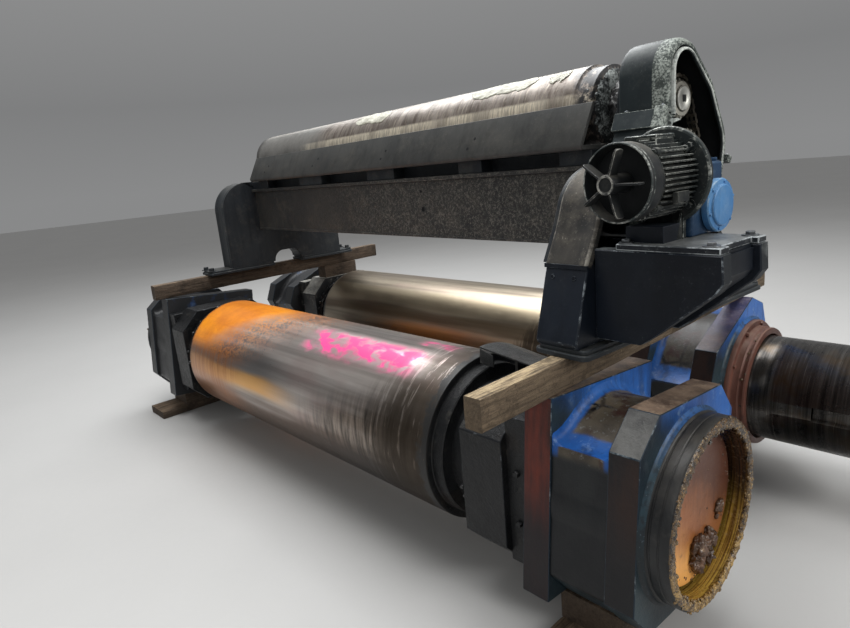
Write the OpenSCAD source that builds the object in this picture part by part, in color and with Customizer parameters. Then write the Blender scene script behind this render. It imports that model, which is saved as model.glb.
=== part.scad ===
/* [Mill rolls] */
// Diameter of the two mill roll barrels
roll_d = 660; // [560:10:700]
// Length of the working face of each mill roll
face_l = 2134; // [1800:2:2200]
// Radius of the bearing necks of the mill rolls
neck_r = 226; // [200:1:240]
// Height of the front roll axis above the floor
axis_h = 464; // [462:1:500]
// Distance of the front roll axis in front of the middle
front_y = 547; // [500:1:600]
// Distance of the rear roll axis behind the middle
rear_y = 599; // [560:1:640]
// How much lower the rear roll axis lies
rear_drop = 24; // [0:1:24]
// How far the rear roll with its chocks is pushed along its axis
rear_shift = -255; // [-260:5:-250]
// How far the drive neck of the rear roll reaches from the middle of that roll
drive_end = 2430; // [2300:10:2600]

/* [Chocks] */
// Distance of the inner face of each chock from the middle
chock_x = 1477; // [1470:1:1490]
// Width of a chock flange
chock_w = 600; // [560:1:620]
// Height of a chock flange
chock_h = 660; // [620:1:680]
// Tilt of the front chocks about the roll axis
front_tilt = -5.3; // [-8:0.1:0]
// Tilt of the rear chocks about the roll axis
rear_tilt = 23; // [10:0.5:24]
// Running clearance between neck and chock bore, on the radius
neck_gap = 0.06; // [0.02:0.01:0.1]

/* [Timbers] */
// Thickness of the upper timbers
timber_t = 95; // [80:1:100]
// Width of the upper timbers
timber_w = 62; // [56:1:100]
// Length of the upper timbers
timber_l = 2010; // [1900:10:2100]
// Thickness of the floor bearers
bearer_t = 50; // [40:1:54]

/* [Blender unit] */
// Turn of the blender unit on its timbers
unit_turn = -4.2; // [-5:0.1:0]
// Radius of the blender roll
blender_r = 160; // [140:1:165]
// Height of the blender roll axis above the front roll axis
blender_h = 1190; // [1180:1:1200]
// Thickness of the cross beam plate
beam_t = 25; // [15:1:30]
// Thickness of the shelf plate
shelf_t = 14; // [10:1:16]

/* [Hidden] */
$fn = 64;
// place of the common origin in the plan
ox = -17.5; oy = -51;
rr = roll_d / 2;
hf = face_l / 2;
zf = axis_h;
zr = axis_h - rear_drop;
chock_l = 388;
flange_l = 93;
inner_l = 100;
timber_z = axis_h + 358;
unit_z = timber_z + timber_t;
timber_x = 1541;

module org() translate([-ox, -oy, 0]) children();
// outline in the YZ plane drawn out along X
module along_x(x0, l) translate([x0, 0, 0]) rotate([90, 0, 90]) linear_extrude(l) children();
// turned body about an X axis: points are [radius, place along X]
module turned(pts) rotate([0, 90, 0]) rotate_extrude($fn = 96) polygon(pts);
module rod_x(x0, l, r) translate([x0, 0, 0]) rotate([0, 90, 0]) cylinder(h = l, r = r);
module front_axis() org() translate([0, -front_y, zf]) children();
module rear_axis() org() translate([rear_shift, rear_y, zr]) children();
// the blender unit stands turned a little on its timbers; heights from the front roll axis
module unit() org() rotate([0, 0, unit_turn]) translate([0, 0, axis_h]) children();
function octo(w, h, c) = [[-w/2+c, -h/2], [w/2-c, -h/2], [w/2, -h/2+c], [w/2, h/2-c], [w/2-c, h/2], [-w/2+c, h/2], [-w/2, h/2-c], [-w/2, -h/2+c]];

// ---- mill rolls
module roll_solid(left, right, seat) {
  turned([[0, -left], [neck_r - 8, -left], [neck_r, -left + 8], [neck_r, -hf - 150], [neck_r + 24, -hf - 110], [neck_r + 24, -hf - 53],
    [300, -hf - 53], [300, -hf], [rr - 8, -hf], [rr, -hf + 8], [rr, hf - 8], [rr - 8, hf], [300, hf], [300, hf + 53],
    [neck_r + 24, hf + 53], [neck_r + 24, hf + 110], [neck_r, hf + 150], [neck_r, seat], [neck_r - 1, seat], [neck_r - 1, right - 8], [neck_r - 9, right], [0, right]]);
}
module front_roll() color([0.62, 0.55, 0.44]) front_axis() roll_solid(1882, 1882, 1868);
module front_roll_end_cap() color([0.70, 0.50, 0.28]) front_axis() {
  rod_x(1882, 12, 238);
  rod_x(-1894, 12, 238);
}
module rear_roll() color([0.62, 0.58, 0.54]) rear_axis() difference() {
  roll_solid(1905, drive_end, 1960);
  for (a = [90, 270]) rotate([a, 0, 0]) translate([drive_end - 240, -28, neck_r - 24]) cube([300, 56, 40]);
}

// ---- chocks: built for the right end, local X from the roll middle
square_flange = [[-290, -330], [290, -330], [320, -300], [320, 332.5], [-290, 332.5]];
front_body = [[-285, -325], [285, -325], [285, 190], [-285, 190]];
rear_body = [[-284, -240], [-200, -324], [200, -324], [284, -240], [284, 190], [-284, 190]];
module chock_solid(inner, body) {
  difference() {
    union() {
      along_x(chock_x, inner_l) polygon(inner);
      along_x(chock_x + inner_l, chock_l - inner_l - flange_l) polygon(body);
      rod_x(chock_x + inner_l, chock_l - inner_l - flange_l, 288);
      along_x(chock_x + chock_l - flange_l, flange_l) polygon(octo(chock_w, chock_h, 100));
    }
    rod_x(chock_x - 1, chock_l + 2, neck_r + neck_gap);
  }
}
module chock_front_right() color([0.15, 0.32, 0.58]) front_axis() rotate([front_tilt, 0, 0]) chock_solid(square_flange, front_body);
module chock_front_left() color([0.15, 0.32, 0.58]) front_axis() rotate([front_tilt, 0, 0]) mirror([1, 0, 0]) chock_solid(square_flange, front_body);
module chock_rear_right() color([0.15, 0.32, 0.58]) rear_axis() rotate([rear_tilt, 0, 0]) chock_solid(octo(chock_w, chock_h, 100), rear_body);
module chock_rear_left() color([0.15, 0.32, 0.58]) rear_axis() rotate([rear_tilt, 0, 0]) mirror([1, 0, 0]) chock_solid(octo(chock_w, chock_h, 100), rear_body);

cover_x = chock_x + chock_l + 0.05;
module ring_solid() difference() {
  union() { rod_x(cover_x, 20, 290); rod_x(cover_x + 20, 68, 287); }
  rod_x(cover_x - 5, 100, 256);
}
module cover_ring_front_right() color([0.16, 0.17, 0.18]) front_axis() ring_solid();
module cover_ring_front_left() color([0.16, 0.17, 0.18]) front_axis() mirror([1, 0, 0]) ring_solid();
module bearing_cover_solid() difference() {
  union() { rod_x(cover_x, 34, 288); rod_x(cover_x + 34, 56, 262); }
  rod_x(cover_x - 5, 100, neck_r + 6);
}
module bearing_cover_rear_right() color([0.42, 0.20, 0.13]) rear_axis() bearing_cover_solid();
module bearing_cover_rear_left() color([0.42, 0.20, 0.13]) rear_axis() mirror([1, 0, 0]) bearing_cover_solid();

module neck_shield_right() color([0.08, 0.09, 0.11]) front_axis() shield_solid();
module neck_shield_left() color([0.08, 0.09, 0.11]) front_axis() mirror([1, 0, 0]) shield_solid();
module neck_shield_rear_right() color([0.08, 0.09, 0.11]) rear_axis() shield_solid();
module neck_shield_rear_left() color([0.08, 0.09, 0.11]) rear_axis() mirror([1, 0, 0]) shield_solid();
// square end housing round the neck between barrel and chock
module shield_solid() difference() {
  union() {
    along_x(1193, 201) polygon([[-290, -206], [-206, -290], [240, -290], [290, -240], [290, 206], [206, 290], [-178, 290], [-290, 178]]);
    along_x(1394, chock_x - 1394) polygon([[-262, -262], [262, -262], [262, 262], [-262, 262]]);
  }
  rod_x(1190, 40, 262);
  rod_x(1200, 320, neck_r + 6);
}
// flared sheet over the barrel end, on a bracket that stands on the neck shield
module stock_guide_right() color([0.10, 0.11, 0.12]) front_axis() {
  difference() {
    turned([[368, 1078], [376, 1078], [346, 1320], [338, 1320]]);
    translate([1000, -500, -500]) cube([400, 1000, 795]);
    translate([1000, -500, 0]) cube([400, 480, 500]);
  }
  translate([1240, -10, 290]) cube([12, 80, 58]);
  translate([1252, -10, 290]) cube([60, 80, 10]);
}

// ---- timbers
module timber_right() color([0.62, 0.50, 0.33]) org() translate([timber_x - timber_w/2, -1101, timber_z]) cube([timber_w, timber_l, timber_t]);
module timber_left() color([0.55, 0.45, 0.32]) org() translate([-timber_x - timber_w/2, -860, timber_z]) cube([timber_w, timber_l - 160, timber_t]);
pack_x = chock_x + chock_l / 2;
// one bearer under the front chock and one under the rear chock
module floor_bearer(x) org() {
  translate([x - 110, -front_y - 400, 0]) cube([220, 800, bearer_t]);
  translate([x + rear_shift - 110, rear_y - 400, 0]) cube([220, 800, bearer_t]);
}
module floor_bearer_right() color([0.50, 0.41, 0.29]) floor_bearer(pack_x);
module floor_bearer_left() color([0.50, 0.41, 0.29]) floor_bearer(-pack_x);
// blocks cut to the underside of the tilted chocks
module packers(x) {
  difference() {
    union() {
      org() translate([x - 110, -front_y - 230, bearer_t]) cube([220, 460, 130]);
      org() translate([x + rear_shift - 110, rear_y - 250, bearer_t]) cube([220, 520, 100]);
    }
    front_axis() rotate([front_tilt, 0, 0]) along_x(x - 120, 240) polygon(octo(chock_w, chock_h, 100));
    front_axis() rotate([front_tilt, 0, 0]) along_x(x - 120, 240) polygon(square_flange);
    rear_axis() rotate([rear_tilt, 0, 0]) along_x(x - 120, 240) polygon(octo(chock_w, chock_h, 100));
  }
}
module packers_right() color([0.45, 0.37, 0.27]) packers(pack_x);
module packers_left() color([0.45, 0.37, 0.27]) {
  packers(-pack_x);
  // block between the rear neck shield and the left timber
  org() translate([-1591, rear_y - 150, zr + 290]) cube([100, 300, timber_z - zr - 290]);
}

// ---- end frames of the blender unit
fy = 440;
gr = 188;
gz = 870;
uz = 453;
function garc(s) = [for (a = [0:9:90]) [s * (fy - gr + gr * cos(a)), gz + gr * sin(a)]];
// rear edge of an end frame, from the top zt down to the low rear foot; d is how far it is moved inward
function rear_pts(d, zt) = [[200 - d * 0.4, zt - d], [226 - d * 0.7, zt - 11 - d * 0.8], [237 - d, zt - 37 - d * 0.4], [237 - d, 812], [252 - d * 0.9, 750 - d * 0.4],
  [290 - d * 0.6, 704 - d * 0.8], [350 - d * 0.3, 684 - d], [404 - d * 0.7, 668 - d * 0.9], [fy - d, 636 - d * 0.3], [fy - d, uz + 30 + d]];
// side outline of an end frame from the foot up to the bearing lobe
function frame_pts(d) = concat([[-fy + d, uz + 30 + d]],
  [for (p = garc(1)) [-(fy - gr) - (p[0] - (fy - gr)) * (gr - d) / gr, gz + (p[1] - gz) * (gr - d) / gr]],
  rear_pts(d, gz + gr));
// arch at the foot of the web
module arch_solid(x0, l, e) {
  translate([x0, -110 - e, uz]) cube([l, 215 + 2 * e, 32]);
  translate([x0, -40, uz]) cube([l, 75, 102 + e]);
  for (y = [-40, 35]) translate([0, y, uz + 32]) rod_x(x0, l, 70 + e);
}
// the right frame leans forward above its leg cover; d is how far the outline is moved inward
function right_pts(d) = concat([[-fy + d, uz + 30 + d], [-fy + d, 727 + d], [-538 + d * 1.6, 727 + d], [-484 + d, 829], [-447 + d, 926 - d * 0.2], [-404 + d * 0.8, 972 - d * 0.7], [-360 + d * 0.4, 996 - d],
  [-310 + d * 0.1, 1009 - d], [-250, 1013 - d]], rear_pts(d, 1013));
module frame_solid(x0, x1, w0, w1, outer, inner) {
  // web plate
  difference() {
    union() {
      along_x(w0, w1 - w0) polygon(outer);
      translate([0, 0, blender_h]) rod_x(w0, w1 - w0, 130);
      along_x(w0, w1 - w0) polygon([[-130, 1000], [130, 1000], [130, blender_h], [-130, blender_h]]);
    }
    arch_solid(w0 - 5, w1 - w0 + 10, 0);
    translate([0, 0, blender_h]) rod_x(w0 - 5, w1 - w0 + 10, 52);
  }
  // deep lining round the arch
  difference() {
    intersection() {
      arch_solid(x0, x1 - x0, 15);
      translate([x0 - 5, -300, uz + 30]) cube([x1 - x0 + 10, 600, 200]);
    }
    arch_solid(x0 - 5, x1 - x0 + 10, 0);
  }
  // rim along both edges and goosenecks
  difference() {
    along_x(x0, x1 - x0) polygon(outer);
    along_x(x0 - 5, x1 - x0 + 10) polygon(inner);
    translate([x0 - 5, -fy + 26, uz - 10]) cube([x1 - x0 + 10, 2 * fy - 52, 70]);
    translate([x0 - 5, -270, 900]) cube([x1 - x0 + 10, 510, 300]);
  }
}
module end_frame_right() color([0.12, 0.14, 0.16]) unit() frame_solid(1500, 1655, 1488, 1518, right_pts(0), right_pts(26));
module end_frame_left() color([0.12, 0.14, 0.16]) unit() frame_solid(-1580, -1430, -1448, -1418, frame_pts(0), frame_pts(26));
module foot_solid(x0, x1) {
  difference() {
    translate([x0, -598, uz]) cube([x1 - x0, 1148, 30]);
    translate([x0 - 5, -110, uz - 5]) cube([x1 - x0 + 10, 215, 40]);
  }
}
module frame_foot_right() color([0.12, 0.14, 0.16]) unit() foot_solid(1488, 1690);
module frame_foot_left() color([0.12, 0.14, 0.16]) unit() foot_solid(-1600, -1410);
// sloping bolted cover in front of the right frame
module leg_cover_right() color([0.10, 0.11, 0.14]) unit() along_x(1500, 155) polygon([[-fy, uz + 30], [-590, uz + 30], [-596, uz + 44], [-530, 726], [-fy, 726]]);

// ---- beam, shelf
module cross_beam() color([0.27, 0.28, 0.28]) unit() translate([-1418, -190, 726]) cube([2906, beam_t, 262]);
module beam_rail() color([0.20, 0.21, 0.22]) unit() translate([-1418, -214, 988]) cube([2906, 114, 18]);
module shelf_posts() color([0.18, 0.19, 0.20]) unit() {
  for (p = [[-1400, 245], [-698, 271], [52, 237], [760, 140], [1300, 140]]) translate([p[0], -206, 1006]) cube([p[1], 76, 50]);
  translate([-1418, -142, 1006]) cube([2906, 12, 50]);
}
module shelf_plate() color([0.25, 0.26, 0.27]) unit() along_x(-1300, 2740) polygon([[-264, 1074], [-252, 1056], [-130, 1056], [-130, 1072], [-250, 1072], [-182, 1204], [-194, 1210]]);
module rear_tie_beam() color([0.20, 0.21, 0.22]) unit() translate([-1418, 200, 760]) cube([2906, beam_t, 220]);

// ---- blender roll
module b_axis() unit() translate([0, 0, blender_h]) children();
module blender_roll() color([0.55, 0.55, 0.53]) b_axis() turned([[0, -1560], [44, -1560], [44, -1412], [70, -1408], [70, -1396], [blender_r - 14, -1390], [blender_r, -1376],
  [blender_r, 1330], [150, 1334], [150, 1400], [70, 1404], [70, 1440], [44, 1444], [44, 1646], [0, 1646]]);
module bearing_solid(x0, l) difference() { union() { rod_x(x0, l, 92); rod_x(x0 + l * 0.25, l * 0.5, 104); } rod_x(x0 - 5, l + 10, 44.06); }
module roll_bearing_right() color([0.13, 0.15, 0.17]) b_axis() bearing_solid(1518, 62);
module roll_bearing_left() color([0.13, 0.15, 0.17]) b_axis() bearing_solid(-1510, 62);

// ---- chain drive
tp = [57, 1019];
lp = [-222, 868];
wheel_x = 1606;
module at_tension() translate([0, tp[0], tp[1]]) children();
module at_drive() translate([0, lp[0], lp[1]]) children();
module roll_sprocket() color([0.45, 0.44, 0.40]) b_axis() difference() { union() { rod_x(wheel_x, 30, 62); rod_x(wheel_x - 14, 54, 56); } rod_x(1580, 80, 44.06); }
module shaft_end_disc() color([0.72, 0.72, 0.68]) b_axis() difference() { rod_x(1646, 8, 38); translate([1640, -11, -11]) cube([20, 22, 22]); }
module tension_sprocket() color([0.50, 0.49, 0.45]) unit() at_tension() difference() { union() { rod_x(wheel_x, 30, 74); rod_x(wheel_x - 8, 46, 34); } rod_x(1580, 90, 20.06); }
// wheel on the output shaft of the reducer
module drive_sprocket() color([0.45, 0.44, 0.40]) unit() at_drive() { rod_x(wheel_x, 30, 56); rod_x(wheel_x - 6, 155, 30); }
module loop2d(e) hull() {
  translate([0, blender_h]) circle(r = 62 + e, $fn = 48);
  translate(tp) circle(r = 74 + e, $fn = 48);
  translate(lp) circle(r = 56 + e, $fn = 48);
}
module drive_chain() color([0.35, 0.33, 0.28]) unit() along_x(wheel_x - 2, 34) difference() { loop2d(20); loop2d(6); }
module upper2d(d) hull() {
  translate([-62, 1260]) circle(r = 110 - d, $fn = 48);
  translate([10, 1150]) circle(r = 145 - d, $fn = 48);
  translate([62, 1030]) circle(r = 160 - d, $fn = 48);
  translate([-172 + d, 1000]) square([60, 260]);
}
module lower2d(d) union() {
  hull() {
    translate([62, 1030]) circle(r = 160 - d, $fn = 48);
    translate(lp) circle(r = 94 - d, $fn = 48);
    translate([100, 868]) circle(r = 90 - d, $fn = 48);
    translate([-172 + d, 1080]) square([60, 70]);
  }
}
// the two halves meet on a line that drops to the rear
module above_split() polygon([[-800, 1421], [800, 737], [800, 1800], [-800, 1800]]);
module below_split() polygon([[-800, 1420.5], [800, 736.5], [800, 300], [-800, 300]]);
module guard_upper() color([0.20, 0.23, 0.23]) unit() {
  along_x(1528, 172) intersection() { difference() { upper2d(0); upper2d(10); } above_split(); }
  along_x(1518, 10) difference() { intersection() { upper2d(0); above_split(); } translate([0, blender_h]) circle(r = 110); }
}
module guard_lower() color([0.17, 0.20, 0.20]) unit() {
  along_x(1528, 172) intersection() { difference() { lower2d(0); lower2d(10); } below_split(); }
  along_x(1518, 10) difference() { intersection() { lower2d(0); below_split(); } translate([0, blender_h]) circle(r = 110); }
  // pin that carries the tension wheel
  at_tension() { rod_x(1528, 116, 20); rod_x(1528, 60, 34); }
}

// ---- motor and reducer
mx = 1794;
mz = 962;
module at_motor() translate([mx, 0, mz]) rotate([90, 0, 0]) children();
module m_axis() unit() at_motor() children();
bz = 772;
function cheek(x0) = [[x0, 500], [1803, 503], [1865, 550], [1949, 619], [2014, 671], [2034, 700], [2030, bz], [x0, bz]];
module xz_plate(y0, t) translate([0, y0 + t, 0]) rotate([90, 0, 0]) linear_extrude(t) children();
module motor_bracket() color([0.09, 0.10, 0.12]) unit() {
  xz_plate(-500, 48) polygon(cheek(1655));
  xz_plate(-290, 45) polygon(cheek(1518));
  translate([1701, -453, bz - 24]) cube([305, 164, 24]);
  // closing sheet between the cheeks, set in from their edge
  xz_plate(-453, 164) polygon([[1790, 514], [1855, 564], [1937, 632], [2000, 684], [2014, 706], [2012, bz - 10], [1990, bz - 10], [1990, 704], [1978, 690], [1925, 646], [1848, 582], [1788, 536]]);
}
module motor_base_plate() color([0.13, 0.14, 0.15]) unit() {
  difference() {
    translate([1727, -498, bz]) cube([297, 255, 18]);
    translate([2004, -452, bz - 5]) cube([40, 162, 40]);
  }
  // block under the motor
  translate([1736, -462, bz + 18]) cube([116, 84, 46]);
}
module motor_solid() {
  translate([0, 0, 365]) cylinder(h = 170, r = 92);
  translate([0, 0, 375]) cylinder(h = 24, r = 108);
  translate([0, 0, 515]) cylinder(h = 20, r = 103);
}
module motor_body() color([0.17, 0.19, 0.20]) m_axis() difference() { motor_solid(); translate([0, 0, 512]) cylinder(h = 30, r = 15.06); }
module motor_end_ring() color([0.15, 0.16, 0.17]) m_axis() difference() { translate([0, 0, 535]) cylinder(h = 55, r = 104); translate([0, 0, 540]) cylinder(h = 60, r = 98); translate([0, 0, 530]) cylinder(h = 20, r = 24); }
module motor_fan() color([0.10, 0.11, 0.12]) m_axis() {
  translate([0, 0, 514]) cylinder(h = 40, r = 15);
  translate([0, 0, 548]) cylinder(h = 90, r = 26);
  for (a = [0:72:288]) rotate([0, 0, a]) translate([18, -3, 597]) cube([74, 6, 36]);
}
module motor_terminal_box() color([0.15, 0.17, 0.18]) unit() difference() {
  translate([mx - 48, -480, mz + 60]) cube([96, 90, 56]);
  at_motor() motor_solid();
}
module motor_flange() color([0.16, 0.18, 0.20]) {
  m_axis() translate([0, 0, 349]) cylinder(h = 16, r = 136);
  // foot of the flange
  unit() translate([mx - 62, -365, bz + 18]) cube([124, 16, 80]);
}
module reducer_housing() color([0.16, 0.30, 0.46]) unit() difference() {
  union() {
    translate([1722, -345, bz + 18]) cube([146, 170, 200]);
    translate([1735, -349, mz - 80]) cube([120, 30, 108]);
  }
  at_drive() rod_x(1710, 50, 30.06);
}
module reducer_cap() color([0.45, 0.62, 0.78]) unit() at_drive() { rod_x(1868, 22, 76); rod_x(1890, 8, 58); }

front_roll();
front_roll_end_cap();
rear_roll();
chock_front_right();
chock_front_left();
chock_rear_right();
chock_rear_left();
cover_ring_front_right();
cover_ring_front_left();
bearing_cover_rear_right();
bearing_cover_rear_left();
neck_shield_right();
neck_shield_left();
neck_shield_rear_right();
neck_shield_rear_left();
stock_guide_right();
timber_right();
timber_left();
floor_bearer_right();
floor_bearer_left();
packers_right();
packers_left();
end_frame_right();
end_frame_left();
frame_foot_right();
frame_foot_left();
leg_cover_right();
cross_beam();
beam_rail();
shelf_posts();
shelf_plate();
rear_tie_beam();
blender_roll();
roll_bearing_right();
roll_bearing_left();
guard_upper();
guard_lower();
drive_chain();
roll_sprocket();
shaft_end_disc();
tension_sprocket();
drive_sprocket();
motor_bracket();
motor_base_plate();
motor_body();
motor_end_ring();
motor_fan();
motor_terminal_box();
motor_flange();
reducer_housing();
reducer_cap();
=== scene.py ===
import bpy, bmesh, math, random
import numpy as np
from mathutils import Matrix, Vector, noise


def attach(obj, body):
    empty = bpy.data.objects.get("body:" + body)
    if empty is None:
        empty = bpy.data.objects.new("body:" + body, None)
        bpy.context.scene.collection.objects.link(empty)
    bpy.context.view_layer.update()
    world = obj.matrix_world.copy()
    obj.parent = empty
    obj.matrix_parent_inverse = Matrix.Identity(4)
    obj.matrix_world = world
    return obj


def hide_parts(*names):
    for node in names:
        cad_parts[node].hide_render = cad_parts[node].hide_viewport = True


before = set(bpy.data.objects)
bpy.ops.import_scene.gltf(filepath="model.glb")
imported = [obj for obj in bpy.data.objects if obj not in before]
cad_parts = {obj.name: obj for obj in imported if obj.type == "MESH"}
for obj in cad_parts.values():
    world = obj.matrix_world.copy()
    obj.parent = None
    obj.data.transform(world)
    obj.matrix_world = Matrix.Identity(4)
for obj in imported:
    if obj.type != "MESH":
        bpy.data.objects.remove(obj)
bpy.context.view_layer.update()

pi = math.pi

# ------------------------------------------------------------------ shared places (millimetres as in the part, metres out)
OX, OY, AXH, SHIFT = -17.5, -51.0, 464.0, -255.0


def T(x, y, z):
    return Matrix.Translation((x / 1000, y / 1000, z / 1000))


ORG = T(-OX, -OY, 0)
FRONT = ORG @ T(0, -547, AXH)
REAR = ORG @ T(SHIFT, 599, AXH - 24)
UNIT = ORG @ Matrix.Rotation(math.radians(-4.2), 4, "Z") @ T(0, 0, AXH)
BAX = UNIT @ T(0, 0, 1190)
MX, MZ = 1794.0, 962.0
MOT = UNIT @ T(MX, 0, MZ) @ Matrix.Rotation(pi / 2, 4, "X")
FT, RT = math.radians(-5.3), math.radians(23.0)
FCH = FRONT @ Matrix.Rotation(FT, 4, "X")
RCH = REAR @ Matrix.Rotation(RT, 4, "X")
MIRX = Matrix.Scale(-1, 4, (1, 0, 0))
TP, LP = (57.0, 1019.0), (-222.0, 868.0)
RNG = random.Random(7)


# ------------------------------------------------------------------ mesh building, in millimetres
class MB:
    def __init__(s):
        s.bm = bmesh.new()

    def face(s, vs, mat=0):
        try:
            f = s.bm.faces.new(vs)
            f.material_index = mat
            return f
        except ValueError:
            return None

    def loft(s, rings, closed=True, cap=True, mat=0, cap_mat=None, join=False):
        R = [[s.bm.verts.new(p) for p in r] for r in rings]
        n = len(R[0])
        rng = range(n) if closed else range(n - 1)
        m = len(R)
        for i in range(m if join else m - 1):
            a, b = R[i], R[(i + 1) % m]
            mi = mat[i] if isinstance(mat, (list, tuple)) else mat
            for j in rng:
                k = (j + 1) % n
                s.face([a[j], a[k], b[k], b[j]], mi)
        if cap and not join:
            cm = cap_mat if cap_mat is not None else (mat if not isinstance(mat, (list, tuple)) else mat[0])
            s.face(list(reversed(R[0])), cm)
            s.face(R[-1], cm)
        return R

    def prism(s, pts, a0, a1, axis="x", mat=0, cap_mat=None):
        def P(a, p):
            return {"x": (a, p[0], p[1]), "y": (p[0], a, p[1]), "z": (p[0], p[1], a)}[axis]
        return s.loft([[P(a0, p) for p in pts], [P(a1, p) for p in pts]], mat=mat, cap_mat=cap_mat)

    def box(s, x0, y0, z0, x1, y1, z1, mat=0):
        return s.prism([(y0, z0), (y1, z0), (y1, z1), (y0, z1)], x0, x1, "x", mat)

    def lathe(s, prof, seg=96, ring=False, mat=0, o=(0, 0), M=None):
        """profile points (radius, place along X); ring: the profile is a closed loop off the axis"""
        rows = []
        for r, x in prof:
            if r < 1e-6:
                rows.append([s.bm.verts.new((x, o[0], o[1]))])
            else:
                rows.append([s.bm.verts.new((x, o[0] + r * math.sin(2 * pi * j / seg), o[1] + r * math.cos(2 * pi * j / seg))) for j in range(seg)])
        m = len(rows)
        for i in range(m if ring else m - 1):
            a, b = rows[i], rows[(i + 1) % m]
            mi = mat[i] if isinstance(mat, (list, tuple)) else mat
            for j in range(seg):
                k = (j + 1) % seg
                if len(a) == 1 and len(b) == 1:
                    continue
                if len(a) == 1:
                    s.face([a[0], b[k], b[j]], mi)
                elif len(b) == 1:
                    s.face([a[j], a[k], b[0]], mi)
                else:
                    s.face([a[j], a[k], b[k], b[j]], mi)
        if M is not None:
            for row in rows:
                for v in row:
                    v.co = M @ v.co
        return rows

    def rod(s, p, d, r, h, seg=24, ch=0.0, mat=0):
        """round bar from p along d, with chamfered ends"""
        d = Vector(d).normalized()
        q = d.to_track_quat("X", "Z").to_matrix().to_4x4()
        M = Matrix.Translation(Vector(p)) @ q
        prof = [(0, 0), (r - ch, 0), (r, ch), (r, h - ch), (r - ch, h), (0, h)] if ch > 0 else [(0, 0), (r, 0), (r, h), (0, h)]
        return s.lathe(prof, seg, mat=mat, M=M)

    def bolt(s, p, d, af, h=None, washer=True, mat=0, turn=0.0):
        """hexagon head with a chamfered top on a washer"""
        h = h or af * 0.62
        d = Vector(d).normalized()
        q = d.to_track_quat("X", "Z").to_matrix().to_4x4()
        M = Matrix.Translation(Vector(p)) @ q @ Matrix.Rotation(turn, 4, "X")
        w = 0.0
        if washer:
            s.lathe([(0, 0), (af * 0.98, 0), (af * 1.0, af * 0.03), (af * 0.98, af * 0.14), (0, af * 0.14)], 24, mat=mat, M=M)
            w = af * 0.12
        R = af / math.sqrt(3)
        def hexr(r, x):
            return [M @ Vector((x, r * math.sin(pi / 3 * j), r * math.cos(pi / 3 * j))) for j in range(6)]
        s.loft([hexr(R * 0.97, w), hexr(R, w + h * 0.06), hexr(R, w + h * 0.8), hexr(R * 0.86, w + h)], mat=mat)

    def blob(s, p, r, seed=0, squash=(1, 1, 1), mat=0, sub=2, rough=0.35):
        b = bmesh.ops.create_icosphere(s.bm, subdivisions=sub, radius=1.0)
        off = Vector((seed * 3.17, seed * 1.31, seed * 2.71))
        for v in b["verts"]:
            k = 1 + rough * noise.noise(v.co * 1.6 + off) + rough * 0.5 * noise.noise(v.co * 3.7 + off)
            v.co = Vector((v.co.x * squash[0], v.co.y * squash[1], v.co.z * squash[2])) * r * k + Vector(p)
        fs = {f for v in b["verts"] for f in v.link_faces}
        for f in fs:
            f.material_index = mat

    def done(s, name, M, body, mats, replaces=(), bevel=None, sharp=32, merge=True, angle=35, fix=True):
        bm = s.bm
        S = M @ Matrix.Scale(0.001, 4)
        if merge:
            bmesh.ops.remove_doubles(bm, verts=bm.verts, dist=0.02)
        bmesh.ops.transform(bm, matrix=S, verts=bm.verts)
        if fix:
            bmesh.ops.recalc_face_normals(bm, faces=bm.faces)
        for f in bm.faces:
            f.smooth = True
        me = bpy.data.meshes.new(name)
        bm.to_mesh(me)
        bm.free()
        for m in mats:
            me.materials.append(m)
        ob = bpy.data.objects.new(name, me)
        bpy.context.scene.collection.objects.link(ob)
        if bevel:
            w, n, em = bevel
            b = ob.modifiers.new("bevel", "BEVEL")
            b.width, b.segments, b.limit_method, b.angle_limit = w / 1000, n, "ANGLE", math.radians(angle)
            b.use_clamp_overlap = True
            b.harden_normals = True
            if em is not None:
                b.material = em
        else:
            me.set_sharp_from_angle(angle=math.radians(sharp))
        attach(ob, body)
        if replaces:
            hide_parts(*replaces)
        return ob


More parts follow.
